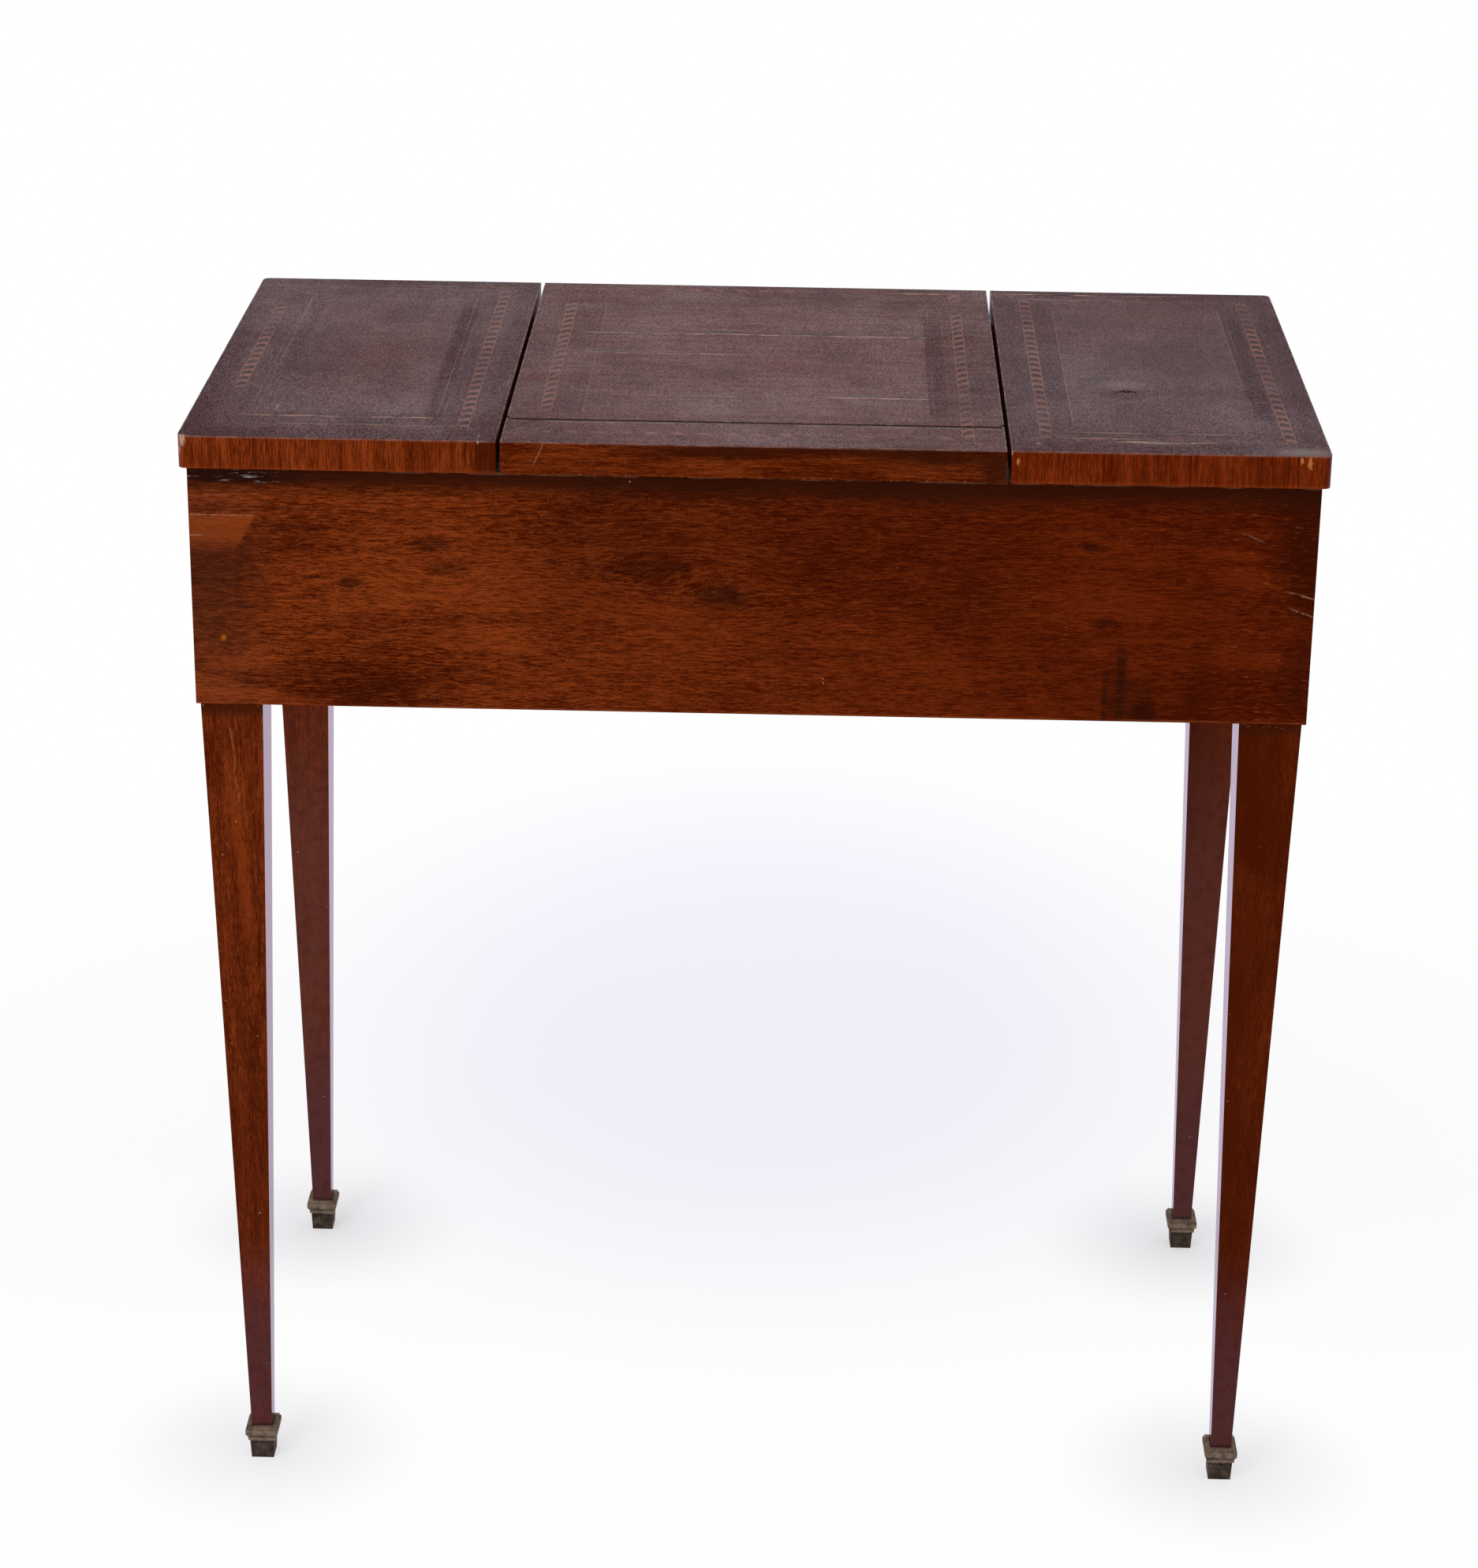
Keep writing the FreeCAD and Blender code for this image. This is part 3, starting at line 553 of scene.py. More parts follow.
def paint_legs(place):
    x, y, z = place.x, place.y, place.z
    colour, height = mahogany(place, "Z", leg_dark_and_shade, leg_light, 0.45, 0.5, 0.35, 22, 0.006, fine=0.6)
    # Painted shade: the legs on the side turned away from the light are darker.
    shade_away_from_light = x.fall(-0.05, 0.05) * ((x + 0.3215).fall(-0.024, 0.004) * -0.35 + 0.95)
    colour = (shade_away_from_light * (place.noise(14, 2) * 0.5 + 0.55)).mix(colour, leg_dark_and_shade)
    upper_shade = x.fall(0, 0.1) * window(z, 0.42, 0.54, 0.05) * place.noise(24).rise(0.35, 0.6)
    shaded = (window(z, 0.1, 0.28, 0.06) * 0.35).most(upper_shade * 0.7)
    colour = (shaded * y.rise(-0.1, 0.1)).mix(colour, leg_dark_and_shade)
    crack, streak = leg_split(place)
    colour = (streak * 0.4).mix(colour, fresh_wood)
    colour = (crack * place.noise(120).rise(0.35, 0.6) * 0.7).mix(colour, split_wood)
    head = (z + ragged(place, 50) * 0.004).rise(0.553, 0.56)
    colour = (head * 0.75).mix(colour, grime_and_shade)
    smears = grained(place, "X", 700, 4, rough=0.7).rise(0.62, 0.68)
    glue = (z + ragged(place, 80) * 0.003).rise(0.5605, 0.562) * smears
    colour = (glue * 0.6).mix(colour, old_glue)
    # Lower down a purple bloom of wax and dust, painted together with a sheen, strongest at the foot.
    height_here = z + (place.noise(9) - 0.5) * 0.06
    dust = place.noise(900, 2, 0.6) * 0.5 + 0.5
    bloom_and_sheen = height_here.fall(0.3, 0.52) * y.fall(-0.1, 0.1)
    colour = (bloom_and_sheen * dust).mix(colour, leg_bloom_and_sheen)
    colour = (height_here.fall(0.09, 0.18) * dust).mix(colour, leg_foot_bloom_and_sheen)
    arrises = place.noise(120).rise(0.45, 0.7) * 0.3
    colour = arrises.mix(colour, leg_dark_and_shade)
    flecks = place.noise(300, 1).rise(0.8, 0.812)
    colour = (flecks * 0.5).mix(colour, old_glue)
    return sockets(colour, place.noise(22) * 0.08 + 0.04, height - crack * 2, 0.00005)


leg_finish = varnished("leg_mahogany", paint_legs, 0.4)

# %% [markdown]
# ## The edges of the top
#
# The rims of the side flaps are faced with veneer whose grain runs upright, so the back rim shows fine upright
# lines in a warm orange-brown. The hinge rail has its grain along its length. One rim ends in a darker strip,
# the corners are knocked down to raw wood, and the arris is pale: rubbed polish with a painted highlight.

# %% Edge finishes
edge_dark = rgb(0.05, 0.0042, 0.0004)
edge_light = rgb(0.3, 0.052, 0.009)
edge_red = rgb(0.25, 0.035, 0.0055)
raw_wood = rgb(0.5, 0.33, 0.22)
gilt_wood = rgb(0.5, 0.2, 0.045)
last_strip = rgb(0.03, 0.003, 0.0008)
# Rubbed wood, and also the painted highlight on the arris.
rubbed_wood_and_highlight = rgb(0.27, 0.13, 0.1)
chips = [((357, 742), 5, raw_wood), ((359, 735), 3, raw_wood), ((-165, 737), 2.2, gilt_wood),
         ((-346.5, 739.5), 3.4, gilt_wood), ((-341, 741), 2, gilt_wood), ((-160.5, 743.5), 1.8, raw_wood),
         ((139.7, 743.6), 1.6, raw_wood), ((171.8, 743.4), 1.2, raw_wood)]
rail_burns = [((25, 741), 10, (0.2, 1.8)), ((-70, 742), 9, (0.2, 2)),
              ((-118, 740), 10, (0.3, 1.3)), ((-152, 733), 9, (0.9, 0.7))]


def chipped(place, colour):
    """Broken corners: raw wood where a rough noise and the nearness to a corner add up."""
    flake = grained(place, "Z", 900, 5, rough=0.75)
    for point, radius, wood in chips:
        near = upright_spot(place, lid_back, point, radius, 0.9, (1.7, 0.75))
        broken = (near * 0.42 + flake * 1.1).rise(0.8, 0.94) * near.rise(0.05, 0.25)
        colour = (broken * 0.85).mix(colour, wood)
    return colour


def rubbed_and_lit_arris(place, colour):
    """The pale line along the upper edge, rubbed polish with a painted highlight, broken where the polish is
    whole.
    """
    z = place.z
    pale = z.rise(top_z - 0.0013, top_z - 0.0006) * (place.noise(90, 4, 0.7).rise(0.4, 0.62) * 0.6 + 0.4)
    return (pale * 0.6).mix(colour, rubbed_wood_and_highlight)


def paint_cross_edge(place):
    x = place.x
    light = x.rise(-0.1, 0.1).mix(edge_red, edge_light)
    colour, height = mahogany(place, "Z", edge_dark, light, 0.4, 0.75, 0.3, 30, 0.001, fine=0.55)
    lines = grained(place, "Z", 520, 25).fall(0.36, 0.43)
    colour = (lines * 0.85).mix(colour, edge_dark)
    strips = grained(place, "Z", 60, 20, 2, 0.55).rise(0.52, 0.6)
    colour = (strips * 0.4).mix(colour, edge_dark)
    colour = (window(x, 0.1608, 0.1735, 0.0006) * 0.8).mix(colour, last_strip)
    lower = place.z.fall(rail_low.z, rail_low.z + 0.003)
    colour = (lower * 0.25).mix(colour, edge_light)
    colour = chipped(place, rubbed_and_lit_arris(place, colour))
    return sockets(colour, place.noise(60, 2) * 0.15 + 0.26, height - lines, 0.00008)


def paint_rail_edge(place):
    x, z = place.x, place.z
    colour, height = mahogany(place, "X", mahogany_dark, mahogany_light, 0.5, 0.6, 0.3, 20, shift=-0.05,
                              fine=0.6)
    for point, radius, stretch in rail_burns:
        burn = upright_spot(place, lid_back, point, radius, 0.7, stretch, 0.4, 90)
        colour = (burn * 0.75).mix(colour, grime_and_shade)
    scratch = line(z + (x - 0.134) * 2.2, 0.736, 0.0003, 0.0008) * window(z, 0.729, 0.743, 0.001)
    colour = (scratch * 0.5).mix(colour, scratch_wood)
    specks = z.fall(0.7225, 0.7245) * place.noise(420, 2).rise(0.56, 0.62)
    colour = (specks * 0.6).mix(colour, scratch_wood)
    return sockets(rubbed_and_lit_arris(place, colour), place.noise(60, 2) * 0.15 + 0.26, height, 0.0001)


edge_finish = varnished("cross_grain_edge", paint_cross_edge, 0.24)
rail_edge_finish = varnished("rail_edge", paint_rail_edge, 0.24)

# %% [markdown]
# ## The inlaid top
#
# Each flap is a picture in veneer: a border, a rope band of small pale pieces between two fine lines, a
# darker band, a thin white string and the figured field. The bands could be cut as separate faces, but they
# lie flush, and a pattern laid by its distance from a rectangle mitres itself at the corners.

# %% Distance from a rectangle
def frame_distance(place, centre, half):
    """Across a rectangle's outline: below 0 inside it, above 0 outside, and which side is nearest."""
    dx = (place.x - centre[0]).size() - half[0]
    dy = (place.y - centre[1]).size() - half[1]
    return dx.most(dy), (dx - dy).rise(-0.0001, 0.0001)


def inset(node, by_x=0, by_front=0, by_back=0, reach=0):
    """The centre and half size of a rectangle inset from a board; the reach lies behind it."""
    low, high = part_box(node)
    y_low, y_high = low.y + by_front, high.y - (by_back - reach)
    return ((low.x + high.x) / 2, (y_low + y_high) / 2), ((high.x - low.x) / 2 - by_x, (y_high - y_low) / 2)


# %% [markdown]
# The rope band repeats every 13.5 mm. Along the sides its pieces lie nearly square across the band, and along
# the ends they are long slanted dashes. Wear has left some lengths clear and others almost lost.

# %% Rope band
rope_half_width = 3.5 * mm
rope_pitch = 13.5 * mm


def rope(place, centre, half, slant, cross):
    """The pale pieces, the dark gaps, the two bounding lines, and the distance across the band."""
    across, is_side = frame_distance(place, centre, half)
    x, y = place.x, place.y
    run = is_side * (y + x * slant + across.size() * -0.5) + (1 - is_side) * (x * 0.8 + y * 0.9)
    uneven = (place.noise(60, 2) - 0.5) * 0.004
    tooth = ((run + uneven) * (1 / rope_pitch)).part()
    reach = is_side * 0.0012 + 0.0021
    inside = across.size().fall(reach - 0.0005, reach + 0.0002)
    clear = (place.noise(13).rise(0.3, 0.6) * 0.65 + 0.35) * (is_side * (1 - cross) + cross)
    pale = window(tooth, 0.28, 0.72, 0.07) * inside
    dark = (1 - pale) * inside
    lines = line(across.size(), rope_half_width, 0.0002, 0.0004) * (is_side * 0.7 + 0.3)
    return pale * clear, dark * clear * (is_side * 0.8 + 0.2), lines * clear, across


# %% [markdown]
# Veneer that has come loose lifts in long low ridges along its grain. A ridge is a narrow hill in the bump
# height; where it has cracked, a pale line of broken polish and painted highlight runs along it, with a painted
# shadow beside it.

# %% Ridges and dents
def ridges(place, marks):
    """Height, pale cracks with a painted highlight, and painted shadows of lifted ridges along X."""
    x = place.x
    broken = place.noise(60).rise(0.32, 0.56)
    height, pale, dark = x * 0, x * 0, x * 0
    for centre, x_low, x_high, width, rise, crack in marks:
        wave = place.stretched(22, 0, 0).moved(centre).noise()
        y = place.y + (wave - 0.5) * 0.009
        reach = window(x, x_low * mm, x_high * mm, 0.012) * wave.rise(0.3, 0.55)
        height = height + (y - centre * mm).size().fall(0, width * mm) * reach * rise
        if crack:
            pale = pale.most(line(y, centre * mm, 0.0008, 0.0014) * reach * broken * crack ** 2)
            dark = dark.most(line(y, (centre - 2.6) * mm, 0.0014, 0.0026) * reach * crack)
    return height, pale, dark


def dents(place, marks):
    height = place.x * 0
    for point, radius, rise in marks:
        height = height + top_spot(place, point, radius, 0.8) * rise
    return height


# %% [markdown]
# One painter serves all three flaps. It lays the field and its dull bands, then old polish with fine dust whose
# pale clouds and specks are also a painted sheen, then the inlay and the marks. The white haze of the room is a
# thin coat whose weight varies, strongest where the polish is whole.

# %% Colours of the top
border_tone = rgb(0.05, 0.0068, 0.0095)
band_tone = rgb(0.03, 0.0062, 0.0115)
warm_tone = rgb(0.125, 0.0155, 0.013)
gap_tone = rgb(0.012, 0.002, 0.003)
speck_tone = rgb(0.006, 0.0015, 0.002)
rope_tone = rgb(0.235, 0.083, 0.054)
string_tone = rgb(0.26, 0.15, 0.12)
# Rubbed wood, and also the painted highlight on the arris.
rub_and_highlight_tone = rgb(0.25, 0.2, 0.17)
# Pale dust, also standing for a painted sheen.
dust_and_sheen_tone = rgb(0.17, 0.078, 0.08)
# Broken polish on the ridges, with a painted highlight.
crack_and_highlight_tone = rgb(0.52, 0.27, 0.2)


# %% Field and polish
def paint_field(place, field, warm):
    colour, pores = mahogany(place, "X", *field, 0.6, 0.4, 0.55, 11)
    for point, radius in warm:
        glow = top_spot(place, point, radius, 0.9, (1, 0.7), 0.3, 30)
        colour = (glow * 0.5).mix(colour, warm_tone)
    return colour, pores


def dull_bands(place, across, is_side, dim):
    """The dull band outside the string, and a few dim strips of the field."""
    dull = across.rise(-0.0001, 0.0006) * (place.noise(6, 2).rise(0.35, 0.65) * 0.25 * is_side + 0.2)
    for x_low, x_high, y_low, y_high, amount in dim:
        dimmed = (window(place.x, x_low * mm, x_high * mm, 0.0025)
                  * window(place.y, y_low * mm, y_high * mm, 0.02))
        dull = dull.most(dimmed * place.noise(16).rise(0, 0.5) * amount)
    return dull


def old_polish(place, colour):
    """The colour under clouds of wax and fine dust, whose pale clouds and specks are also a painted sheen, and
    both as masks.
    """
    mottle = place.stretched(1, 0.5, 1).noise(14, 5, 0.68)
    colour = (mottle.rise(0.48, 0.72) * 0.65).mix(colour, band_tone)
    colour = (mottle.fall(0.28, 0.5) * 0.35).mix(colour, dust_and_sheen_tone)
    dust = place.stretched(1, 0.36, 1).noise(1350, 1, 0.5)
    colour = (dust.rise(0.46, 0.66) * 0.42).mix(colour, dust_and_sheen_tone)
    colour = (dust.fall(0.34, 0.54) * 0.85).mix(colour, speck_tone)
    return colour, mottle, dust


def coat_weight(place, mottle, dust, dull, streaky, sheen):
    """The haze of the room: cloudy, streaked along the grain, with a few placed spots."""
    streaks = grained(place, "X", 130, 7, 4, 0.65)
    broad = place.noise(5, 4, 0.55)
    haze = (mottle * 0.35 + broad * (0.65 - streaky) + streaks * streaky).fall(0.38, 0.6) * 0.22 + 0.09
    haze = haze * (dust.rise(0.3, 0.7) * 0.9 + 0.55) * (1 - dull * 0.5)
    for point, radius, amount in sheen:
        haze = haze + top_spot(place, point, radius, 0.8, (0.6, 1)) * amount
    return haze.most(0.02)


# %% Inlay and marks
def inlay(place, colour, pieces, across, is_side, worn):
    """The rope band and the strings, lost where the top is worn."""
    for point, radius in worn:
        kept = 1 - top_spot(place, point, radius, 0.6) * 0.9
        pieces = [piece * kept for piece in pieces]
    pale, dark, lines = pieces
    colour = (dark * 0.7).mix(colour, gap_tone)
    colour = (pale * 0.8).mix(colour, rope_tone)
    colour = (lines * 0.75).mix(colour, rope_tone)
    gaps = place.noise(11).rise(0.3, 0.65) * (is_side * 0.75 + 0.25)
    string = line(across, 0, 0.00025, 0.0005) * gaps
    second = line(across, 0.0038, 0.0001, 0.0004) * place.noise(7, 2).rise(0.45, 0.62) * 0.5
    colour = (string * 0.34).mix(colour, string_tone)
    return (second * 0.7).mix(colour, string_tone)


def top_marks(place, colour, dent_marks, rubs, seams):
    """Painted shade in the pits, rubbed places, and the seam between the middle flap and its rail."""
    for (x, y), radius, rise in dent_marks:
        if rise < 0:
            # Painted shade in the pit of a dent.
            pit_shade = top_spot(place, (x, y + 1), radius * 0.7, 0.6)
            colour = (pit_shade * min(-rise, 1) * 0.6).mix(colour, grime_and_shade)
    for point, radius, stretch, amount in rubs:
        rub = top_spot(place, point, radius, 0.8, stretch, 0.6, 200)
        colour = (rub * amount).mix(colour, rub_and_highlight_tone)
    for y_seam, amount in seams:
        level = place.y + ragged(place, 60) * 0.0004
        colour = (line(level, y_seam, 0.0014, 0.0018) * amount).mix(colour, grime_and_shade)
        worn_side = line(level, y_seam + 0.0038, 0.0005, 0.0012) * place.noise(70).rise(0.42, 0.58)
        colour = (worn_side * amount * 0.5).mix(colour, rub_and_highlight_tone)
    return colour


def flap_rim(place, colour, board):
    """The joint of the edge veneer and the pale arris, rubbed polish with a painted highlight, and the joint as
    a mask.
    """
    outer, _ = frame_distance(place, *board)
    joint = window(outer, -0.0022, -0.0013, 0.0003) * place.noise(24).rise(0.36, 0.5)
    colour = (joint * 0.4).mix(colour, grime_and_shade)
    # The pale arris: rubbed polish with a painted highlight.
    arris = outer.rise(-0.0012, -0.0006) * place.noise(90, 4, 0.7).rise(0.42, 0.6)
    return (arris * 0.55).mix(colour, rub_and_highlight_tone), joint


# %% [markdown]
# What differs between the flaps is written as facts, such as how warm the field is, and where the veneer is
# ridged, dented or rubbed.

# %% Top finish
def paint_flap(board, centre, rope_half, string_half, slant, cross, field, ridge_marks, warm, rubs, dim,
               streaky, shade, sheen, dent_marks=(), worn=(), seams=()):
    def paint(place):
        across, is_side = frame_distance(place, centre, string_half)
        colour, pores = paint_field(place, field, warm)
        dull = dull_bands(place, across, is_side, dim)
        colour = (dull * 0.9).mix(colour, band_tone)
        *pieces, rope_across = rope(place, centre, rope_half, slant, cross)
        border = rope_across.rise(rope_half_width, rope_half_width + 0.0003)
        dull = dull.most(rope_across.rise(0, 0.014) * shade)
        colour = (border * shade).mix(colour, border_tone)
        colour, mottle, dust = old_polish(place, colour)
        colour = inlay(place, colour, pieces, across, is_side, worn)
        height, lit_cracks, shadows = ridges(place, ridge_marks)
        # Painted shadows beside the ridges, and pale cracks that are partly a painted highlight on their
        # crests.
        colour = (shadows * 0.9).mix(colour, grime_and_shade)
        colour = (lit_cracks * 0.85).mix(colour, crack_and_highlight_tone)
        colour = top_marks(place, colour, dent_marks, rubs, seams)
        colour, joint = flap_rim(place, colour, board)
        crazing = place.noise(760, 2, 0.8) * 0.2 + place.noise(260) * 0.1
        height = height + dents(place, dent_marks) + pores * 0.1 + crazing - joint * 0.2
        return sockets(chipped(place, colour), place.noise(18, 4) * 0.16 + 0.22 + dull * 0.2, height, 0.0007,
                       Coat_Weight=coat_weight(place, mottle, dust, dull, streaky, sheen))
    return paint


def top_finish(name, node, rope_inset, string_inset, reach=0, **facts):
    board = inset(node, reach=reach)
    centre, rope_half = inset(node, *rope_inset, reach)
    _, string_half = inset(node, *string_inset, reach)
    print(name, "rope frame", [round(2 * size / mm) for size in rope_half], "mm")
    return finish(name, paint_flap(board, centre, rope_half, string_half, **facts), Specular_IOR_Level=0.014,
                  Coat_Roughness=0.25)


side_rope = (23 * mm, 25 * mm, 30 * mm)
side_string = (41.5 * mm, 50 * mm, 55 * mm)
middle_rope = (23.5 * mm, 13 * mm, 25 * mm)
middle_string = (47.5 * mm, 55 * mm, 72 * mm)
rail_depth = lid_back - middle_high.y
side_facts = dict(field=(rgb(0.034, 0.0045, 0.0075), rgb(0.094, 0.011, 0.0165)),
                  cross=0.4, streaky=0.15, shade=0.5)

# %% [markdown]
# The sitter's right flap, at the left of the photograph, has sunk along the near end of its field. The left
# flap has a blister with a pit in it, and loose veneer at both ends. The middle flap has three long cracks,
# and its finish runs on over the hinge rail.

# %% The three tops
right_top = top_finish(
    "right_flap_top", "flap_right", side_rope, side_string, slant=-0.35, **side_facts,
    sheen=[((235, 130), 40, 0.03), ((265, 185), 60, -0.07), ((345, 60), 75, -0.07)],
    ridge_marks=[(150, 203, 318, 2.2, -0.8, 0.8), (140, 190, 320, 6, 0.25, 0),
                 (169, 185, 300, 3, 0.5, 0.45), (-190, 178, 215, 3, 0.7, 0.6),
                 (-184, 170, 290, 3.5, 0.5, 0.4)],
    dent_marks=[((180, 160), 12, 0.3)], warm=[((235, -40), 42), ((265, -110), 45), ((250, 60), 40)],
    rubs=[((306, 130), 1.3, (2, 0.25), 0.6), ((311, 147), 1.2, (0.3, 2), 0.4),
          ((163, 60), 1, (2, 0.1), 0.5), ((172, 189), 1.2, (2, 0.3), 0.6)],
    dim=[(198, 210.5, -130, 165, 0.7), (307, 318, -150, 60, 0.3)], worn=[((338, 130), 50), ((342, -150), 28)])
left_top = top_finish(
    "left_flap_top", "flap_left", side_rope, side_string, slant=0.35, **side_facts,
    sheen=[((-241, 46), 9, 0.16), ((-215, 40), 16, 0.05), ((-241, 61), 4, -0.3), ((-330, 192), 16, 0.12),
           ((-255, 178), 40, -0.04), ((-250, 0), 70, 0.03)],
    ridge_marks=[(157, -300, -192, 3, 0.9, 0.6), (176, -285, -232, 3, 1.2, 1),
                 (170, -240, -182, 4, 0.8, 0.7), (-190, -235, -172, 2.5, 1, 1),
                 (-190, -292, -250, 2.5, 0.8, 0.8), (-176, -250, -185, 4, 0.6, 0.6)],
    dent_marks=[((-241, 54), 15, 1.9), ((-241, 62), 3.4, -3)], warm=[((-250, -120), 50)],
    rubs=[((-345, 193), 10, (0.6, 1.2), 0.45), ((-178, 183), 1.6, (1, 0.8), 0.6),
          ((-241, 58.5), 0.9, (1, 1), 0.4), ((-258, 178), 7, (0.5, 2.2), 0.35)],
    dim=[(-290, -200, 158, 168, 0.7), (-332, -320, -140, 120, 0.6)])
middle_top = top_finish(
    "middle_flap_top", "flap_middle", middle_rope, middle_string, reach=rail_depth, slant=-0.9,
    field=(rgb(0.068, 0.0085, 0.004), rgb(0.172, 0.023, 0.009)),
    cross=0.95, streaky=0.4, shade=0.1, seams=[(middle_high.y, 0.9)], sheen=[((0, 145), 75, 0.11)],
    ridge_marks=[(-66, -112, 118, 2.6, 1.2, 0.9), (-14, 15, 112, 2.4, 0.9, 0.7),
                 (87, -114, -50, 2.4, 1.4, 1), (90, 18, 109, 3.5, 0.6, 0.4),
                 (-186, -130, -95, 2.6, 0.9, 0.9), (60, -60, 90, 6, 0.15, 0)],
    warm=[((0, -120), 70), ((-60, 40), 60), ((60, -30), 50)],
    rubs=[((18, 146.5), 1.2, (0.5, 1.5), 0.8), ((-33, 146.5), 0.9, (0.5, 1.5), 0.7),
          ((-86, 146.5), 1.1, (0.5, 1.5), 0.8)],
    dim=[(-124, -110.5, -125, 130, 0.7), (-110.5, -82, -168, -138, 0.6), (86, 116, -163, -144, 0.4)],
    worn=[((137, 150), 26), ((-134, -150), 18)])

# %% [markdown]
# ## Plain inside woods, the glass and the brass
#
# The wells and drawers are of pale oak that never had polish. The mirror is a flat glass, its silvering
# spotted near the rim. The boots are cast brass gone brown and dull; the knobs, handled every day, have kept
# more of their own yellow. So one colour runs from patina to bare brass by noise.

# %% Oak
def paint_oak(place):
    colour, height = mahogany(place, "Y", rgb(0.15, 0.078, 0.032), rgb(0.34, 0.2, 0.094))
    dust = place.noise(12, 4).rise(0.45, 0.7)
    colour = (dust * 0.25).mix(colour, rgb(0.16, 0.1, 0.06))
    return sockets(colour, place.noise(40, 2) * 0.2 + 0.55, height, 0.00012)


oak_finish = finish("plain_oak", paint_oak, Specular_IOR_Level=0.25)


# %% Front and side mahogany, and the underside of the flaps
def plain_painter(grain):
    def paint(place):
        colour, height = mahogany(place, grain, mahogany_dark, rgb(0.19, 0.029, 0.005))
        scuffs = place.noise(330, 1).rise(0.76, 0.79)
        colour = (scuffs * 0.4).mix(colour, scratch_wood)
        return sockets(colour, place.noise(30) * 0.16 + 0.22, height, 0.0001)
    return paint


plain_finish = varnished("plain_mahogany", plain_painter("X"), 0.3)
side_finish = varnished("side_mahogany", plain_painter("Y"), 0.3)


# %% Brass
def paint_brass(place):
    patches = place.noise(150, 5, 0.65)
    fine = place.noise(1100, 3, 0.7)
    z = place.z
    # The upper part of the boot is lighter: a painted highlight.
    lit_cap = z.rise(0.0125, 0.0145)
    worn = (patches * 0.5 + fine * 0.5 + lit_cap * 0.07).rise(0.42, 0.64)
    colour = worn.mix(rgb(0.022, 0.014, 0.008), lit_cap.mix(rgb(0.11, 0.075, 0.052), rgb(0.24, 0.178, 0.118)))
    groove = line(z, 0.0172, 0.0003, 0.0005).most(line(z, 0.0124, 0.0003, 0.0006))
    colour = (groove * 0.7).mix(colour, rgb(0.015, 0.009, 0.006))
    return sockets(colour, 0.66 - worn * 0.14, fine * 0.6 + patches, 0.0003, Metallic=worn * 0.15 + 0.08)


def paint_knob(place):
    patches = place.noise(200, 4, 0.6)
    worn = patches.rise(0.3, 0.62)
    colour = worn.mix(rgb(0.15, 0.088, 0.034), rgb(0.5, 0.33, 0.125))
    return sockets(colour, 0.44 - worn * 0.16, patches, 0.0001)


brass_finish = finish("old_brass", paint_brass, Specular_IOR_Level=0.15)
knob_finish = finish("handled_brass", paint_knob, Metallic=1)


# %% Looking glass
def paint_mirror(place):
    across, _ = frame_distance(place, *inset("mirror_glass"))
    spots = place.noise(240, 4, 0.7) + across.rise(-0.03, 0) * 0.16
    foxed = spots.rise(0.66, 0.74)
    return dict(Base_Color=foxed.mix(rgb(0.86, 0.88, 0.87), rgb(0.16, 0.15, 0.13)),
                Roughness=foxed * 0.4 + 0.03)


mirror_finish = finish("looking_glass", paint_mirror, Metallic=1)

# %% [markdown]
# ## Dressing the boards
#
# A board keeps its shape. Its faces get a material by the way they look: the top of a flap is inlaid, its
# rims are edge veneer, its underside is plain. A sharp edge would catch no light, so each board also gets a
# narrow bevel, wider where hands have rubbed the arris round.

# %% Materials by face
def dress(node, choose, arris, segments=2):
    """Gives each face the material that choose(normal, centre) names, and rounds the arrises."""
    piece = nodes[node]
    mesh = piece.data
    mesh.materials.clear()
    order = []
    for face in mesh.polygons:
        material = choose(face.normal, face.center)
        if material not in order:
            order.append(material)
            mesh.materials.append(material)
        face.material_index = order.index(material)
    if arris:
        bevel = piece.modifiers.new("arris", "BEVEL")
        bevel.width = arris
        bevel.segments = segments
        bevel.limit_method = "ANGLE"
        bevel.angle_limit = math.radians(30)
        bevel.harden_normals = True


def all_over(material):
    return lambda normal, centre: material


def flap_faces(top, edge):
    def choose(normal, centre):
        if normal.z > 0.7 and centre.z > top_z - 2 * mm:
            return top
        if abs(normal.z) < 0.7 and centre.z > rail_low.z + 6 * mm:
            return edge
        return plain_finish
    return choose


dress("flap_left", flap_faces(left_top, edge_finish), 0.9 * mm, 3)
dress("flap_right", flap_faces(right_top, edge_finish), 0.9 * mm, 3)
dress("flap_middle", flap_faces(middle_top, rail_edge_finish), 0.7 * mm, 3)
dress("hinge_rail", flap_faces(middle_top, rail_edge_finish), 0.9 * mm, 3)
dress("back_panel", all_over(back_finish), 0.8 * mm)
corners = [f"{end}_{side}" for end in ("back", "front") for side in ("left", "right")]
for corner in corners:
    dress("leg_" + corner, all_over(leg_finish), 0.9 * mm)
    dress("boot_" + corner, all_over(brass_finish), 0.45 * mm)
print("the outside boards are dressed")

# %% [markdown]
# The other pieces are dressed from one short table, since they share a few finishes.

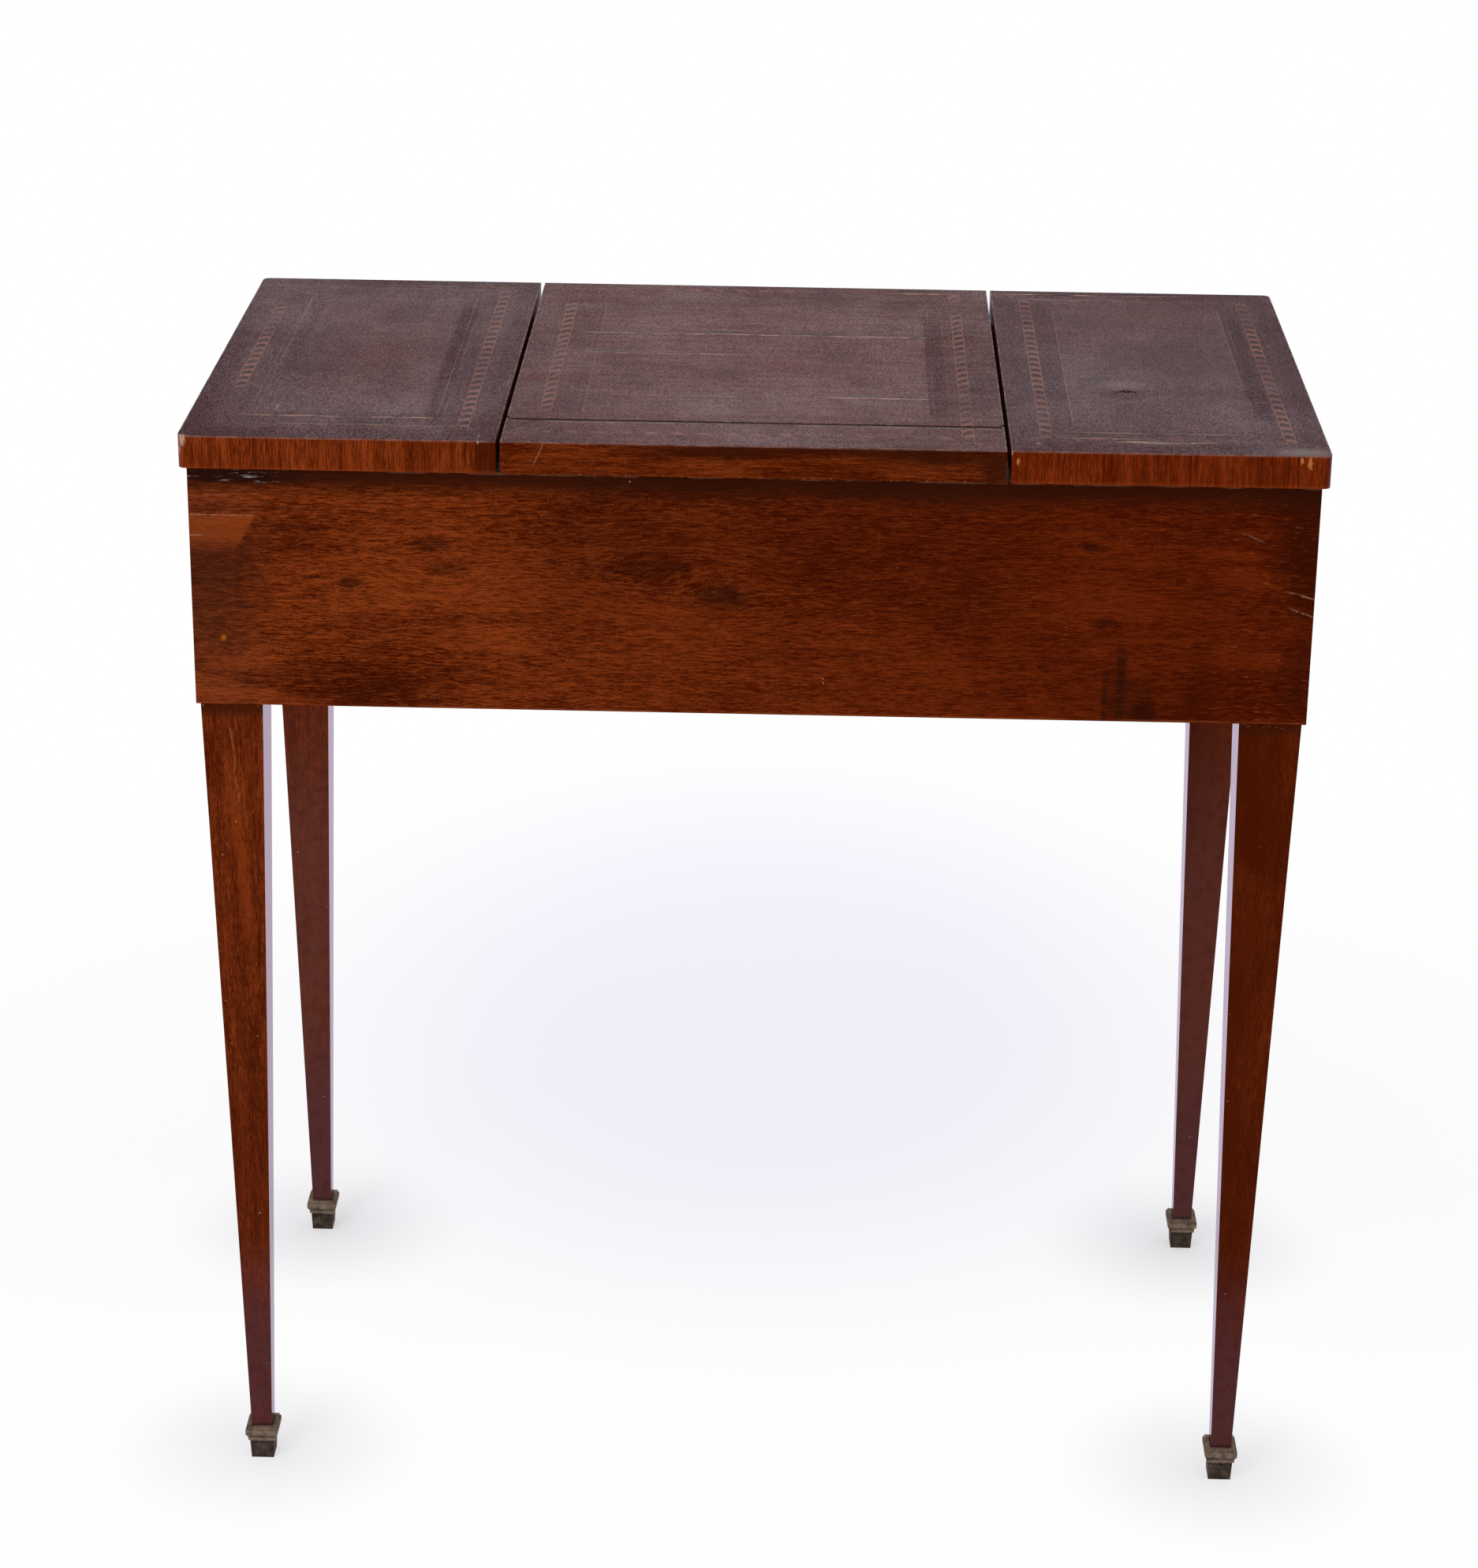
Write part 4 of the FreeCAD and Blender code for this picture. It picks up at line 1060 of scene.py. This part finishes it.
# %% The other pieces
side_grain = ["side_panel_left", "side_panel_right", "partition_left", "partition_right", "writing_board"]
front_wood = ["bottom_rail_front", "mid_rails", "frieze", "sham_front_left", "sham_front_right",
              "writing_slide_lip", "mirror_beads"]
oak = ["bottom_rail_back", "drawer_runners", "kickers", "glue_blocks", "well_floor_left",
       "well_floor_right", "well_floor_middle"]
metal = ["boot_nails", "rim_leaves", "hinge_pins", "carcase_screws", "pivot_plates"]
for side in ("left", "right"):
    metal += [f"flap_leaves_{side}", f"flap_screws_{side}"]
for drawer in ("left", "right", "middle"):
    front_wood.append(f"drawer_{drawer}_front")
    oak += [f"drawer_{drawer}_{part}" for part in ("sides", "back", "bottom")]
for names, material, arris in (
        (side_grain, side_finish, 0.6), (front_wood, plain_finish, 0.6), (oak, oak_finish, 0.5),
        (metal, brass_finish, 0), (["mirror_glass"], mirror_finish, 0.4)):
    for name in names:
        dress(name, all_over(material), arris * mm)
print("the inner pieces are dressed")

# %% [markdown]
# ## Turned knobs
#
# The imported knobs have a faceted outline. A turned knob is a smooth curve spun about its axis, so its profile
# is a few points, smoothed, and spun by a plain loop. A Screw modifier would do it too, but only when
# evaluated.

# %% Knobs
knob_profile_shares = [(0.62, 0), (0.63, 0.1), (0.42, 0.2), (0.36, 0.34), (0.5, 0.48), (0.86, 0.58),
                       (1, 0.7), (0.93, 0.84), (0.66, 0.95), (0.3, 0.99), (0, 1)]
turns = 32


def smooth_profile(points, steps=4):
    """More points on a smooth curve through the given ones."""
    curve = []
    for before, start, end, after in zip(points[:1] + points, points, points[1:], points[2:] + points[-1:]):
        for step in range(steps):
            share = step / steps
            curve.append([spline(share, *values) for values in zip(before, start, end, after)])
    curve.append(list(points[-1]))
    return curve


def spline(share, before, start, end, after):
    slope_in, slope_out = (end - before) / 2, (after - start) / 2
    square, cube = share ** 2, share ** 3
    return ((2 * cube - 3 * square + 1) * start + (cube - 2 * square + share) * slope_in
            + (3 * square - 2 * cube) * end + (cube - square) * slope_out)


def mesh_data(name, mesh):
    data = bpy.data.meshes.new(name)
    mesh.to_mesh(data)
    mesh.free()
    return data


def turned_knob(name, node, centre_x, radius, body):
    low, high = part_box(node)
    centre_z, reach = (low.z + high.z) / 2, front_y - low.y
    mesh = bmesh.new()
    rings = []
    for share_r, share_l in smooth_profile(knob_profile_shares):
        r, y = max(share_r, 0) * radius, front_y - min(share_l, 1) * reach
        ring = [mesh.verts.new((centre_x + r * math.cos(math.tau * i / turns), y,
                                centre_z + r * math.sin(math.tau * i / turns))) for i in range(turns)]
        rings.append(ring)
    for near, far in zip(rings, rings[1:]):
        for i in range(turns):
            mesh.faces.new((near[i], near[i - 1], far[i - 1], far[i]))
    bmesh.ops.remove_doubles(mesh, verts=mesh.verts, dist=0.01 * mm)
    bmesh.ops.recalc_face_normals(mesh, faces=mesh.faces)
    piece = stood(name, mesh_data(name, mesh))
    piece.data.shade_smooth()
    piece.data.materials.append(knob_finish)
    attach(piece, body)
    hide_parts(node)


front_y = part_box("frieze")[0].y
for drawer in ("left", "right", "middle"):
    node = f"drawer_{drawer}_knob"
    low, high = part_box(node)
    turned_knob(f"turned_knob_{drawer}", node, middle(node).x, (high.x - low.x) / 2, f"{drawer}_drawer")
for node, body, kind in (
        ("sham_knobs", "carcase", "sham"), ("writing_slide_knobs", "writing_slide", "slide")):
    low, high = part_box(node)
    radius = (high.z - low.z) / 2
    for side, x in (("left", low.x + radius), ("right", high.x - radius)):
        turned_knob(f"turned_knob_{kind}_{side}", node, x, radius, body)
print("seven knobs turned")

# %% [markdown]
# ## The studio
#
# The light of the photograph is flat and white, a little stronger from the left. A wide white world gives
# the even part. The floor is a large disc that partly shines by itself to the camera, so it reads as white
# and still takes a faint shadow; around each boot it shines less, which paints some shade there. Polished wood
# must mirror the same white room, so glossy rays see the world at full white while plain light stays lower.

# %% Floor
floor_radius = 30
near_level = 0.83
lavender_patch_level = 0.07
front_level = 0.08
cloth_colour = rgb(0.82, 0.8, 0.88)
cloth_light = rgb(0.93, 0.915, 1)
mirrored_cloth = rgb(0.9, 0.78, 1)
mirrored_room = rgb(0.93, 0.835, 0.86)
white = rgb(1, 1, 1)


def rays(start, kind):
    """1 for rays of one kind."""
    return start.node("LightPath", output=f"Is {kind} Ray")


def rays_that_see(start):
    """1 for rays that look at the white room, straight, by gloss or through glass."""
    return strongest([rays(start, kind) for kind in ("Camera", "Glossy", "Transmission")])


mesh = bmesh.new()
bmesh.ops.create_circle(mesh, cap_ends=True, radius=floor_radius, segments=96)
floor = stood("studio_floor", mesh_data("studio_floor", mesh))
floor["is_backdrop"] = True
material = bpy.data.materials.new("white_cloth_floor")
floor.data.materials.append(material)
start = empty_tree(material)
place = start.node("TexCoord", output="Object")
far = place.distance((0, 0, 0)).rise(0.45, 1.3)
# A darker lavender patch of floor behind the table.
lavender_patch = place.stretched(1, 0.7, 1).distance((0, -0.42, 0)).rise(0.14, 0.5)
in_front = place.y.rise(-0.3, 0.15)
near_glow = lavender_patch * lavender_patch_level + in_front * front_level + near_level
# Around each boot the floor glows less: painted shade, which also lets the real shadow show there.
for corner in corners:
    centre = middle("boot_" + corner)
    near_glow = near_glow * place.distance((centre.x, centre.y, 0)).rise(0, 0.13, 0.55, 1)
far = far.most(place.y.rise(0.05, 0.45) * 0.9)
glow = rays_that_see(start) * (near_glow + (1 - near_glow) * far)
cloth = start.node("BsdfDiffuse", None, {"Color": cloth_colour})
seen_colour = rays(start, "Glossy").mix(lavender_patch.mix(cloth_light, white), mirrored_cloth)
light = start.node("Emission", None, {"Color": seen_colour, "Strength": 1})
mixed = start.node("MixShader", None, {0: glow, 1: cloth, 2: light})
start.node("OutputMaterial", None, {"Surface": mixed})

# %% World and lamps
world_level = 0.72
key_power = 26
key_place = Vector((1.5, 2.2, 2.3))

world = bpy.data.worlds.new("white_room")
bpy.context.scene.world = world
start = empty_tree(world)
even_light = start.node("Background", None, {"Color": white, "Strength": world_level})
room_colour = rays(start, "Glossy").mix(white, mirrored_room)
white_room = start.node("Background", None, {"Color": room_colour, "Strength": 1})
both = start.node("MixShader", None, {0: rays_that_see(start), 1: even_light, 2: white_room})
start.node("OutputWorld", None, {"Surface": both})

key_data = bpy.data.lights.new("soft_key", "AREA")
key_data.shape = "DISK"
key_data.size = 1.4
key_data.energy = key_power
key = stood("soft_key", key_data)
key.location = key_place
key.rotation_euler = (Vector((0, 0, 0.5)) - key_place).to_track_quat("-Z", "Y").to_euler()

bpy.context.scene.view_settings.view_transform = "Standard"
print("the studio is lit")

# %% Finish
low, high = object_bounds()
print("visual box", rounded(low), rounded(high))
